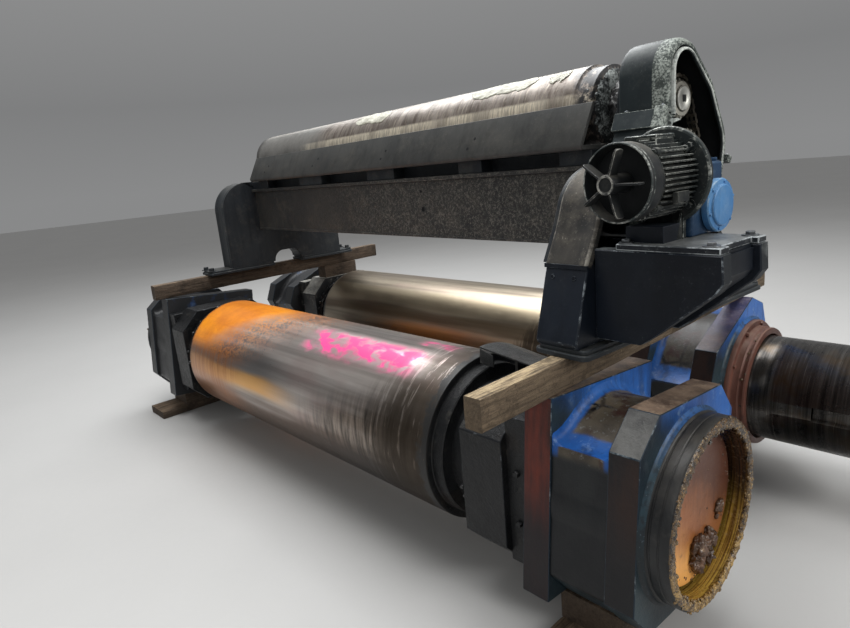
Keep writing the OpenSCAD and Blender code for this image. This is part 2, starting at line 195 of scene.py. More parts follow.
# ------------------------------------------------------------------ materials
class NM:
    def __init__(s, name):
        s.m = bpy.data.materials.new(name)
        s.m.use_nodes = True
        s.t = s.m.node_tree
        s.t.nodes.clear()
        s.out = s.t.nodes.new("ShaderNodeOutputMaterial")
        s.b = s.t.nodes.new("ShaderNodeBsdfPrincipled")
        s.t.links.new(s.b.outputs[0], s.out.inputs["Surface"])
        s.tc = s.t.nodes.new("ShaderNodeTexCoord")
        s.P = s.tc.outputs["Object"]
        s.Nn = s.tc.outputs["Normal"]

    def put(s, inp, v):
        if hasattr(v, "links") or isinstance(v, bpy.types.NodeSocket):
            s.t.links.new(v, inp)
        elif isinstance(v, (tuple, list)):
            inp.default_value = tuple(v) + ((1.0,) if len(v) == 3 and len(inp.default_value) == 4 else ())
        else:
            inp.default_value = v

    def set(s, name, v):
        s.put(s.b.inputs[name], v)
        return s

    def math(s, op, a, b=0.0, c=None, clamp=False):
        n = s.t.nodes.new("ShaderNodeMath")
        n.operation = op
        n.use_clamp = clamp
        s.put(n.inputs[0], a)
        s.put(n.inputs[1], b)
        if c is not None:
            s.put(n.inputs[2], c)
        return n.outputs[0]

    def mul(s, a, b):
        return s.math("MULTIPLY", a, b)

    def add(s, a, b):
        return s.math("ADD", a, b)

    def scaled(s, vec, sc, loc=(0, 0, 0), rot=(0, 0, 0)):
        n = s.t.nodes.new("ShaderNodeMapping")
        n.inputs["Scale"].default_value = sc
        n.inputs["Location"].default_value = loc
        n.inputs["Rotation"].default_value = rot
        s.put(n.inputs["Vector"], vec)
        return n.outputs[0]

    def noise(s, scale, detail=5, rough=0.55, vec=None, dist=0.0):
        n = s.t.nodes.new("ShaderNodeTexNoise")
        s.put(n.inputs["Vector"], vec if vec is not None else s.P)
        n.inputs["Scale"].default_value = scale
        n.inputs["Detail"].default_value = detail
        n.inputs["Roughness"].default_value = rough
        n.inputs["Distortion"].default_value = dist
        return n.outputs["Fac"]

    def voro(s, scale, vec=None, feature="F1", rand=1.0):
        n = s.t.nodes.new("ShaderNodeTexVoronoi")
        n.feature = feature
        s.put(n.inputs["Vector"], vec if vec is not None else s.P)
        n.inputs["Scale"].default_value = scale
        n.inputs["Randomness"].default_value = rand
        return n.outputs["Distance"]

    def ramp(s, fac, stops, ease=False):
        """stops: (place, value or colour)"""
        n = s.t.nodes.new("ShaderNodeValToRGB")
        if ease:
            n.color_ramp.interpolation = "EASE"
        el = n.color_ramp.elements
        while len(el) > len(stops):
            el.remove(el[-1])
        while len(el) < len(stops):
            el.new(1.0)
        for e, (p, c) in zip(el, stops):
            e.position = p
            e.color = (c, c, c, 1) if not isinstance(c, (tuple, list)) else tuple(c) + (1,)
        s.put(n.inputs["Fac"], fac)
        return n.outputs["Color"]

    def mix(s, fac, a, b, mode="MIX"):
        n = s.t.nodes.new("ShaderNodeMix")
        n.data_type = "RGBA"
        n.blend_type = mode
        n.clamp_factor = True
        s.put(n.inputs[0], fac)
        s.put(n.inputs[6], a)
        s.put(n.inputs[7], b)
        return n.outputs[2]

    def mixf(s, fac, a, b):
        n = s.t.nodes.new("ShaderNodeMix")
        n.data_type = "FLOAT"
        n.clamp_factor = True
        s.put(n.inputs[0], fac)
        s.put(n.inputs[2], a)
        s.put(n.inputs[3], b)
        return n.outputs[0]

    def sep(s, vec):
        n = s.t.nodes.new("ShaderNodeSeparateXYZ")
        s.put(n.inputs[0], vec)
        return n.outputs

    def comb(s, x, y, z):
        n = s.t.nodes.new("ShaderNodeCombineXYZ")
        s.put(n.inputs[0], x)
        s.put(n.inputs[1], y)
        s.put(n.inputs[2], z)
        return n.outputs[0]

    def step(s, v, lo, hi, a=0.0, b=1.0, smooth=True):
        n = s.t.nodes.new("ShaderNodeMapRange")
        n.interpolation_type = "SMOOTHSTEP" if smooth else "LINEAR"
        s.put(n.inputs["Value"], v)
        n.inputs["From Min"].default_value = lo
        n.inputs["From Max"].default_value = hi
        n.inputs["To Min"].default_value = a
        n.inputs["To Max"].default_value = b
        return n.outputs[0]

    def bump(s, h, strength=0.3, dist=0.002, prev=None):
        n = s.t.nodes.new("ShaderNodeBump")
        n.inputs["Strength"].default_value = strength
        n.inputs["Distance"].default_value = dist
        s.put(n.inputs["Height"], h)
        if prev is not None:
            s.put(n.inputs["Normal"], prev)
        return n.outputs[0]

    def normal(s, v):
        s.put(s.b.inputs["Normal"], v)
        return s

    def polar(s, y0, z0):
        """(place along X, angle in turns about the X axis through y0, z0, radius)"""
        o = s.sep(s.P)
        dy = s.math("SUBTRACT", o[1], y0)
        dz = s.math("SUBTRACT", o[2], z0)
        ang = s.math("ARCTAN2", dy, dz)
        return o[0], ang, dy, dz


def painted(name, base, dark, dust, wear=0.35, rough=0.5, metal=0.0, grime=0.5, speck=0.3, cast=0.5, dustup=0.5, spec=0.20, big=2.2, sheen_col=None):
    k = NM(name)
    o = k.sep(k.P)
    nz = k.sep(k.Nn)[2]
    n1 = k.noise(big, 6, 0.6)
    n2 = k.noise(11, 8, 0.62)
    n3 = k.noise(62, 6, 0.7)
    n4 = k.noise(230, 3, 0.6)
    col = k.mix(k.ramp(n1, [(0.32, 0), (0.68, 1)]), dark, base)
    # runs of grime down the sides
    st = k.noise(1, 6, 0.6, vec=k.scaled(k.P, (24, 24, 2.2)))
    col = k.mix(k.mul(k.ramp(st, [(0.48, 0), (0.72, 1)]), grime), col, tuple(c * 0.45 for c in dark))
    # worn, dusty patches
    w = k.mul(k.ramp(k.add(k.mul(n2, 0.7), k.mul(n3, 0.3)), [(0.5, 0), (0.66, 1)]), wear)
    col = k.mix(w, col, dust)
    # pale specks
    sp = k.mul(k.ramp(k.noise(120, 2, 0.8), [(0.62, 0), (0.7, 1)]), k.mul(k.ramp(n2, [(0.4, 0.1), (0.62, 1)]), speck))
    col = k.mix(sp, col, tuple(min(1, c * 1.5 + 0.05) for c in dust))
    # dust that lies on faces that look up
    up = k.mul(k.step(nz, 0.45, 0.95), k.mul(k.ramp(k.add(k.mul(n2, 0.6), k.mul(n3, 0.4)), [(0.36, 0.25), (0.6, 1)]), dustup))
    col = k.mix(up, col, dust)
    k.set("Base Color", col)
    k.set("Metallic", metal)
    r = k.add(k.mul(n2, 0.35), rough - 0.17)
    k.set("Roughness", k.math("ADD", r, k.mul(w, 0.15), clamp=True))
    k.set("Specular IOR Level", spec)
    h = k.add(k.mul(n3, 0.5), k.add(k.mul(n4, 0.25), k.mul(n2, 0.8)))
    k.normal(k.bump(h, cast, 0.0016))
    return k.m


def edge_worn(name, paint, bare, amount=0.6, rough=0.42, metal=0.5, s1=5.5, s2=55, wt=0.62):
    """worn edge: paint rubbed through to pale metal in patches"""
    k = NM(name)
    n1 = k.noise(s1, 6, 0.65)
    n2 = k.noise(s2, 5, 0.7)
    lo = 0.60 - 0.26 * amount
    f = k.ramp(k.add(k.mul(n1, wt), k.mul(n2, 1 - wt)), [(lo, 0), (lo + 0.10, 1)])
    k.set("Base Color", k.mix(f, paint, k.mix(n2, tuple(c * 0.6 for c in bare), bare)))
    k.set("Specular IOR Level", 0.22)
    k.set("Metallic", k.mul(f, metal))
    k.set("Roughness", k.add(k.mul(n2, 0.25), rough - 0.1))
    k.normal(k.bump(n2, 0.4, 0.0012))
    return k.m


FRAME = painted("frame_paint", (0.026, 0.031, 0.035), (0.010, 0.012, 0.016), (0.085, 0.082, 0.074), wear=0.30, rough=0.48, grime=0.5, dustup=0.45, speck=0.18)
FRAME_E = edge_worn("frame_edge", (0.028, 0.033, 0.037), (0.15, 0.15, 0.145), 0.30)
NECKF = painted("gooseneck_paint", (0.056, 0.051, 0.044), (0.020, 0.021, 0.022), (0.150, 0.134, 0.110), wear=0.45, rough=0.62, grime=0.5, dustup=0.70, speck=0.65, cast=0.9, big=7.0)
NECKF_E = edge_worn("gooseneck_edge", (0.055, 0.050, 0.044), (0.30, 0.285, 0.25), 0.45)
NAVY = painted("bracket_paint", (0.0085, 0.0125, 0.0200), (0.0040, 0.0055, 0.0090), (0.034, 0.040, 0.046), wear=0.14, rough=0.42, grime=0.35, dustup=0.35, speck=0.16, cast=0.3)
NAVY_E = edge_worn("bracket_edge", (0.010, 0.014, 0.021), (0.30, 0.34, 0.37), 0.34, s1=9.0, s2=70)
NAVY_D = painted("bracket_end_paint", (0.020, 0.025, 0.030), (0.007, 0.009, 0.012), (0.170, 0.185, 0.185), wear=0.60, rough=0.50, grime=0.45, dustup=0.35, speck=0.40, cast=0.4, big=6.0)
PLATE = painted("base_plate_paint", (0.020, 0.024, 0.031), (0.008, 0.010, 0.014), (0.20, 0.21, 0.21), wear=0.22, rough=0.42, grime=0.3, dustup=0.95, speck=0.4, cast=0.35)
PLATE_E = edge_worn("base_plate_edge", (0.06, 0.068, 0.075), (0.50, 0.54, 0.56), 0.70)
def beam_mat():
    """grey beam: plain and nearly black at the left, thick with fine pale specks to the right"""
    k = NM("beam_grey")
    x = k.sep(k.P)[0]
    n1, n2, n3, n4 = k.noise(1.4, 6, 0.62), k.noise(13, 7, 0.66), k.noise(75, 6, 0.75), k.noise(230, 4, 0.75)
    col = k.mix(k.ramp(n1, [(0.34, 0), (0.66, 1)]), (0.018, 0.020, 0.022), (0.046, 0.045, 0.042))
    col = k.mix(k.mul(k.ramp(n2, [(0.50, 0), (0.66, 1)]), 0.45), col, (0.085, 0.078, 0.066))
    on = k.step(k.add(x, k.mul(k.math("SUBTRACT", n1, 0.5), 1.4)), -0.55, 0.25)
    sp = k.ramp(k.add(k.mul(n3, 0.55), k.mul(n4, 0.45)), [(0.50, 0), (0.58, 1)])
    col = k.mix(k.mul(k.mul(sp, on), 0.75), col, (0.175, 0.165, 0.142))
    gl = k.ramp(n4, [(0.66, 0), (0.72, 1)])
    col = k.mix(k.mul(gl, k.mul(on, 0.8)), col, (0.42, 0.40, 0.35))
    col = k.mix(k.mul(k.ramp(n3, [(0.34, 1), (0.44, 0)]), 0.7), col, (0.010, 0.010, 0.011))
    k.set("Base Color", col)
    k.set("Roughness", k.add(k.mul(n2, 0.3), 0.42))
    k.set("Specular IOR Level", 0.25)
    k.normal(k.bump(k.add(k.mul(n3, 0.9), k.add(k.mul(n4, 0.4), k.mul(n2, 0.8))), 0.75, 0.0022))
    return k.m


BEAM = beam_mat()
BEAM_E = edge_worn("beam_edge", (0.040, 0.040, 0.040), (0.30, 0.29, 0.26), 0.30)
SHELF = painted("shelf_grey", (0.074, 0.074, 0.070), (0.034, 0.036, 0.037), (0.125, 0.118, 0.102), wear=0.30, rough=0.50, grime=0.40, dustup=0.15, speck=0.22, big=2.4, cast=0.40)
GUARD = painted("guard_paint", (0.024, 0.032, 0.035), (0.010, 0.015, 0.018), (0.130, 0.140, 0.132), wear=0.20, rough=0.46, grime=0.25, dustup=0.50, speck=0.14, cast=0.35)
GUARD_E = edge_worn("guard_rim", (0.050, 0.060, 0.056), (0.42, 0.46, 0.42), 0.50, rough=0.60, metal=0.0, s1=16.0, s2=150, wt=0.42)
GUARD_T = edge_worn("guard_thin_rim", (0.20, 0.22, 0.21), (0.66, 0.70, 0.66), 0.66, rough=0.50, metal=0.0, s1=12.0, s2=110, wt=0.5)
MOTOR = painted("motor_paint", (0.018, 0.023, 0.024), (0.007, 0.009, 0.010), (0.20, 0.20, 0.175), wear=0.26, rough=0.50, grime=0.30, dustup=0.85, speck=0.26)
MOTOR_E = edge_worn("motor_edge", (0.034, 0.042, 0.042), (0.56, 0.58, 0.54), 0.50, s1=12.0, s2=90)
RINGM = painted("shroud_paint", (0.022, 0.025, 0.026), (0.009, 0.010, 0.012), (0.13, 0.125, 0.11), wear=0.28, rough=0.46, grime=0.2, dustup=0.75, speck=0.12, cast=0.25)
FANM = painted("fan_plastic", (0.020, 0.022, 0.023), (0.008, 0.009, 0.010), (0.095, 0.09, 0.078), wear=0.35, rough=0.46, dustup=0.65, speck=0.10, cast=0.2)
FANM_E = edge_worn("fan_edge", (0.035, 0.037, 0.037), (0.52, 0.51, 0.46), 0.42, metal=0.05)
# deep black stands in for shade: inside holes, the guard's inner wall and groove, behind the fan
SHADE_BLACK = painted("deep_black", (0.008, 0.009, 0.010), (0.003, 0.004, 0.005), (0.02, 0.02, 0.02), wear=0.2, rough=0.6, dustup=0.1, speck=0.05)
RBLUE = painted("reducer_blue", (0.022, 0.060, 0.130), (0.010, 0.024, 0.050), (0.13, 0.19, 0.24), wear=0.35, rough=0.4, grime=0.5, dustup=0.4, speck=0.2)
CBLUE = painted("cap_blue", (0.095, 0.270, 0.540), (0.045, 0.140, 0.320), (0.30, 0.42, 0.52), wear=0.25, rough=0.36, grime=0.35, dustup=0.3, speck=0.12, cast=0.2)
CBLUE_E = edge_worn("cap_edge", (0.10, 0.24, 0.44), (0.44, 0.58, 0.70), 0.40)


def steel(name, c0, c1, rough=0.32, oil=0.4, scale=1.0, scratch=0.5):
    k = NM(name)
    n1 = k.noise(4 * scale, 7, 0.6)
    n2 = k.noise(30 * scale, 6, 0.65)
    n3 = k.noise(1, 4, 0.6, vec=k.scaled(k.P, (260, 12, 12)))
    col = k.mix(k.ramp(n1, [(0.35, 0), (0.65, 1)]), c0, c1)
    col = k.mix(k.mul(k.ramp(n2, [(0.5, 0), (0.7, 1)]), oil), col, tuple(c * 0.25 for c in c0))
    k.set("Base Color", col)
    k.set("Metallic", 1.0)
    k.set("Roughness", k.add(k.mul(n2, 0.3), k.add(k.mul(n3, 0.12 * scratch), rough - 0.18)))
    k.normal(k.bump(k.add(n2, k.mul(n3, 0.5)), 0.25, 0.0008))
    return k.m


BARE = steel("bare_plate", (0.62, 0.62, 0.58), (0.42, 0.43, 0.41), 0.42, 0.25)
CHAIN = steel("chain_steel", (0.30, 0.27, 0.22), (0.12, 0.11, 0.10), 0.42, 0.7, 3)
SPROK = steel("sprocket_steel", (0.55, 0.54, 0.48), (0.28, 0.27, 0.24), 0.45, 0.4, 2)
BOLTM = steel("bolt_steel", (0.24, 0.25, 0.26), (0.09, 0.10, 0.11), 0.5, 0.5, 3)

# ------------------------------------------------------------------ finishes of the mill rolls
def roll_mat(name, front, y0, z0, xs):
    """ground steel read by place along the roll and angle about its axis, with painted reflections in bands by angle;
    the front roll carries the coat of rust oil
    """
    k = NM(name)
    px, ang, dy, dz = k.polar(y0, z0)
    x = k.add(px, xs)
    a = k.mul(ang, -1.0)
    ring = k.comb(k.mul(x, 150.0), k.mul(ang, 1.4), 0.0)
    band = k.comb(k.mul(x, 0.55), k.mul(ang, 6.0), 3.0)
    fine = k.noise(1, 4, 0.6, vec=ring)
    long_ = k.noise(1, 5, 0.55, vec=band)
    wide = k.noise(1, 3, 0.5, vec=k.comb(k.mul(x, 0.7), k.mul(ang, 2.2), 8.0))
    cloud = k.noise(3.2, 7, 0.62)
    mid = k.noise(17, 6, 0.65)
    small = k.noise(85, 4, 0.7)
    tint = k.noise(1, 3, 0.5, vec=k.comb(k.mul(x, 1.7), k.mul(ang, 1.8), 14.0))
    # straw, violet and grey tarnish
    if front:
        steel_c = k.mix(k.ramp(long_, [(0.38, 0), (0.60, 1)]), (0.420, 0.375, 0.350), (0.700, 0.640, 0.600))
    else:
        steel_c = k.mix(k.ramp(long_, [(0.38, 0), (0.60, 1)]), (0.185, 0.155, 0.115), (0.350, 0.300, 0.230))
    steel_c = k.mix(k.mul(k.ramp(tint, [(0.48, 0), (0.64, 1)]), 0.50), steel_c, (0.460, 0.300, 0.280) if front else (0.300, 0.205, 0.180))
    steel_c = k.mix(k.mul(k.ramp(wide, [(0.50, 0), (0.66, 1)]), 0.45), steel_c, (0.230, 0.190, 0.155))
    av = k.add(a, k.mul(k.math("SUBTRACT", wide, 0.5), 0.5))
    if front:
        # painted reflections in bands that run along the roll: pale above, blue grey in the left half, gold, dark
        # brown below
        side = k.step(x, 0.25, -0.25)
        grey = k.mul(k.mul(k.step(av, 0.86, 1.02), k.step(av, 1.30, 1.44, 1.0, 0.0)), side)
        steel_c = k.mix(k.mul(grey, 0.75), steel_c, (0.120, 0.120, 0.122))
        gold = k.mul(k.mul(k.step(av, 1.24, 1.36), k.step(av, 1.56, 1.74, 1.0, 0.0)), side)
        steel_c = k.mix(k.mul(gold, 0.92), steel_c, (0.760, 0.400, 0.110))
        # to the right the lower half is streaked dark brown: turning smears over a painted dark reflection band
        turn = k.noise(1, 6, 0.66, vec=k.comb(k.mul(x, 30.0), k.mul(ang, 1.0), 33.0))
        rb = k.mul(k.step(k.add(av, k.mul(k.step(x, 0.2, 1.0), 0.45)), 1.10, 1.62), k.step(x, 0.0, 0.5))
        steel_c = k.mix(k.mul(rb, k.ramp(turn, [(0.36, 1.0), (0.60, 0.62)])), steel_c, k.mix(k.ramp(turn, [(0.42, 0), (0.62, 1)]), (0.040, 0.030, 0.022), (0.170, 0.115, 0.070)))
        # the dark brown band low down is a painted reflection
        low = k.step(av, 1.62, 1.90)
        steel_c = k.mix(k.mul(low, 0.93), steel_c, k.mix(k.step(x, -0.4, 0.9), (0.105, 0.050, 0.018), (0.030, 0.023, 0.018)))
    else:
        # painted reflections in bands along the rear roll: a gold band, a dark brown band below it, brown low down
        gold = k.mul(k.step(av, 0.50, 0.66), k.step(av, 0.86, 1.02, 1.0, 0.0))
        steel_c = k.mix(k.mul(gold, 0.70), steel_c, (0.400, 0.330, 0.225))
        dark = k.mul(k.step(av, 0.90, 1.02), k.step(av, 1.12, 1.24, 1.0, 0.0))
        steel_c = k.mix(k.mul(dark, 0.70), steel_c, (0.095, 0.060, 0.032))
        low = k.step(av, 1.30, 1.75)
        steel_c = k.mix(k.mul(low, 0.85), steel_c, (0.16, 0.115, 0.07))
    col = steel_c
    metal = 1.0
    rough = k.add(k.mul(fine, 0.10), k.add(k.mul(mid, 0.12), k.add(k.mul(cloud, 0.10), 0.15 if front else 0.20)))
    if front:
        # orange coat at the left end: far along the top, less far down the front
        lim = k.add(k.mul(k.math("MAXIMUM", a, 0.0), -0.50), 0.16)
        edge = k.add(k.math("SUBTRACT", x, lim), k.add(k.mul(k.math("SUBTRACT", cloud, 0.5), 0.24), k.mul(k.math("SUBTRACT", mid, 0.5), 0.10)))
        body = k.step(edge, -0.60, -0.22, 1.0, 0.0)
        # its far edge breaks up into fine specks
        fr = k.mul(k.step(edge, -0.45, 0.20, 1.0, 0.0), k.ramp(k.add(k.mul(small, 0.75), k.mul(mid, 0.25)), [(0.45, 0), (0.53, 1)]))
        down = k.step(k.add(a, k.mul(k.math("SUBTRACT", cloud, 0.5), 0.3)), 0.98, 1.30, 1.0, 0.0)
        coat = k.mul(k.math("MAXIMUM", body, k.mul(fr, 0.80)), down)
        # lower down only a thin copper film is left
        film = k.mul(k.mul(k.step(a, 0.95, 1.15), k.step(a, 2.2, 2.7, 1.0, 0.0)), k.step(k.add(x, k.mul(k.math("SUBTRACT", wide, 0.5), 0.6)), -0.72, -0.30, 1.0, 0.0))
        streak = k.noise(1, 5, 0.6, vec=k.comb(k.mul(x, 60.0), k.mul(ang, 1.1), 2.0))
        col = k.mix(k.mul(film, k.ramp(streak, [(0.38, 0.45), (0.60, 0.95)])), col, (0.42, 0.150, 0.035))
        oc = k.mix(k.ramp(cloud, [(0.36, 0), (0.58, 1)]), (0.66, 0.190, 0.004), (0.95, 0.330, 0.010))
        oc = k.mix(k.mul(k.ramp(long_, [(0.48, 0), (0.64, 1)]), 0.5), oc, (0.52, 0.130, 0.006))
        oc = k.mix(k.mul(k.ramp(small, [(0.57, 0), (0.66, 1)]), 0.5), oc, (0.50, 0.130, 0.008))
        # a few bare brown scars in the coat
        scar = k.noise(1, 4, 0.65, vec=k.comb(k.mul(x, 9.0), k.mul(ang, 5.0), 21.0))
        oc = k.mix(k.mul(k.ramp(scar, [(0.71, 0), (0.73, 1)]), 0.7), oc, (0.165, 0.060, 0.018))
        col = k.mix(coat, col, oc)
        metal = k.mixf(coat, 1.0, 0.10)
        rough = k.mixf(coat, rough, 0.36)
        # smears of pink spray
        sp = k.noise(1, 3, 0.5, vec=k.comb(k.mul(x, 13.0), k.mul(ang, 7.0), 4.4), dist=0.25)
        sm = k.add(k.mul(sp, 0.92), k.mul(mid, 0.08))
        wx = k.mul(k.step(x, 0.02, 0.16), k.step(x, 0.76, 0.92, 1.0, 0.0))
        wa = k.mul(k.step(ang, -0.74, -0.56), k.step(ang, -0.30, -0.12, 1.0, 0.0))
        w2 = k.mul(k.mul(k.step(x, 0.70, 0.79), k.step(x, 0.88, 0.97, 1.0, 0.0)), k.mul(k.step(ang, -0.10, 0.0), k.step(ang, 0.08, 0.18, 1.0, 0.0)))
        win = k.math("MAXIMUM", k.mul(wx, wa), w2)
        core = k.mul(k.ramp(sm, [(0.45, 0), (0.57, 1)]), win)
        halo = k.mul(k.ramp(sm, [(0.26, 0), (0.54, 1)]), win)
        col = k.mix(k.mul(halo, 0.62), col, (0.72, 0.16, 0.33))
        col = k.mix(k.mul(core, 0.90), col, (0.90, 0.035, 0.265))
        metal = k.mixf(k.math("MAXIMUM", core, k.mul(halo, 0.5)), metal, 0.0)
        rough = k.mixf(core, rough, 0.42)
    # dark turning smears toward the right end, then black grease
    tail = k.noise(1, 6, 0.62, vec=k.comb(k.mul(x, 42.0), k.mul(ang, 1.5), 6.0))
    tw = k.step(k.add(x, k.add(k.mul(k.math("SUBTRACT", cloud, 0.5), 0.25), k.mul(k.step(a, 0.4, 1.3), 0.16))), 0.72 if front else 0.92, 1.02)
    tm = k.mul(k.ramp(k.add(tail, k.mul(tw, 0.16)), [(0.48, 0), (0.60, 1)]), tw)
    col = k.mix(k.mul(tm, 0.90), col, (0.046, 0.036, 0.027))
    rough = k.mixf(tm, rough, 0.50)
    ed = k.add(k.math("SUBTRACT", x, 1.020), k.mul(k.math("SUBTRACT", mid, 0.5), 0.16))
    g = k.mul(k.step(ed, -0.010, 0.02), k.ramp(k.add(k.mul(small, 0.5), k.mul(mid, 0.5)), [(0.52, 1), (0.62, 0.35)]))
    gl = k.mul(k.step(x, -1.035, -1.060), k.ramp(mid, [(0.4, 0.9), (0.6, 0.3)]))
    g = k.math("MAXIMUM", g, gl)
    col = k.mix(g, col, (0.010, 0.010, 0.010))
    metal = k.mixf(g, metal, 0.1)
    rough = k.mixf(g, rough, 0.45)
    # fine dark spots
    spot = k.mul(k.ramp(k.voro(46), [(0.05, 1), (0.10, 0)]), k.ramp(cloud, [(0.45, 0), (0.6, 1)]))
    col = k.mix(k.mul(spot, 0.5), col, (0.08, 0.045, 0.025))
    k.set("Base Color", col)
    k.set("Metallic", metal)
    k.set("Roughness", rough)
    k.normal(k.bump(k.add(k.mul(fine, 0.4), k.add(k.mul(small, 0.25), k.mul(g, 1.2))), 0.20, 0.0007))
    return k.m


Y_F, Z_F = (-547 - OY) / 1000, AXH / 1000
Y_R, Z_R = (599 - OY) / 1000, (AXH - 24) / 1000
ROLL_F = roll_mat("roll_front", True, Y_F, Z_F, OX / 1000)
ROLL_R = roll_mat("roll_rear", False, Y_R, Z_R, (OX - SHIFT) / 1000)


def neck_mat(name, y0, z0):
    k = NM(name)
    px, ang, dy, dz = k.polar(y0, z0)
    a = k.noise(1, 3, 0.7, vec=k.comb(k.mul(px, 60.0), k.mul(ang, 0.35), 0.0))
    b = k.noise(1, 4, 0.7, vec=k.comb(k.mul(px, 330.0), k.mul(ang, 0.8), 2.0))
    c = k.noise(8, 7, 0.65)
    col = k.mix(k.ramp(a, [(0.38, 0), (0.62, 1)]), (0.045, 0.043, 0.042), (0.17, 0.16, 0.15))
    col = k.mix(k.ramp(b, [(0.6, 0), (0.68, 1)]), col, (0.42, 0.40, 0.37))
    col = k.mix(k.mul(k.ramp(c, [(0.5, 0), (0.66, 1)]), 0.7), col, (0.12, 0.075, 0.035))
    k.set("Base Color", col)
    k.set("Metallic", 0.9)
    k.set("Roughness", k.add(k.mul(c, 0.3), 0.14))
    k.normal(k.bump(k.add(a, b), 0.22, 0.0008))
    return k.m


NECK_F, NECK_R = neck_mat("neck_front", Y_F, Z_F), neck_mat("neck_rear", Y_R, Z_R)


def grease_black(name, c0=(0.012, 0.013, 0.016), c1=(0.045, 0.047, 0.05), hi=(0.22, 0.21, 0.18), rough=0.32):
    k = NM(name)
    n1, n2, n3 = k.noise(5, 7, 0.62), k.noise(28, 6, 0.68), k.noise(110, 4, 0.7)
    col = k.mix(k.ramp(n1, [(0.36, 0), (0.66, 1)]), c0, c1)
    col = k.mix(k.mul(k.ramp(n2, [(0.58, 0), (0.72, 1)]), 0.6), col, hi)
    col = k.mix(k.mul(k.ramp(k.noise(2.6, 6, 0.6), [(0.55, 0), (0.75, 1)]), 0.35), col, (0.055, 0.03, 0.015))
    k.set("Base Color", col)
    k.set("Roughness", k.add(k.mul(n2, 0.45), rough - 0.16))
    k.set("Specular IOR Level", 0.30)
    k.normal(k.bump(k.add(k.mul(n2, 1.0), k.add(k.mul(n3, 0.5), k.mul(n1, 1.2))), 0.9, 0.005))
    return k.m


GREASY = grease_black("greasy_black", (0.0035, 0.0040, 0.0048), (0.0110, 0.0115, 0.0125), (0.050, 0.047, 0.040))
GREASY_E = edge_worn("greasy_edge", (0.007, 0.008, 0.010), (0.20, 0.22, 0.24), 0.20, s1=9.0)
SHEETG = grease_black("guide_sheet_grey", (0.012, 0.013, 0.014), (0.045, 0.046, 0.046), (0.17, 0.17, 0.16), rough=0.40)


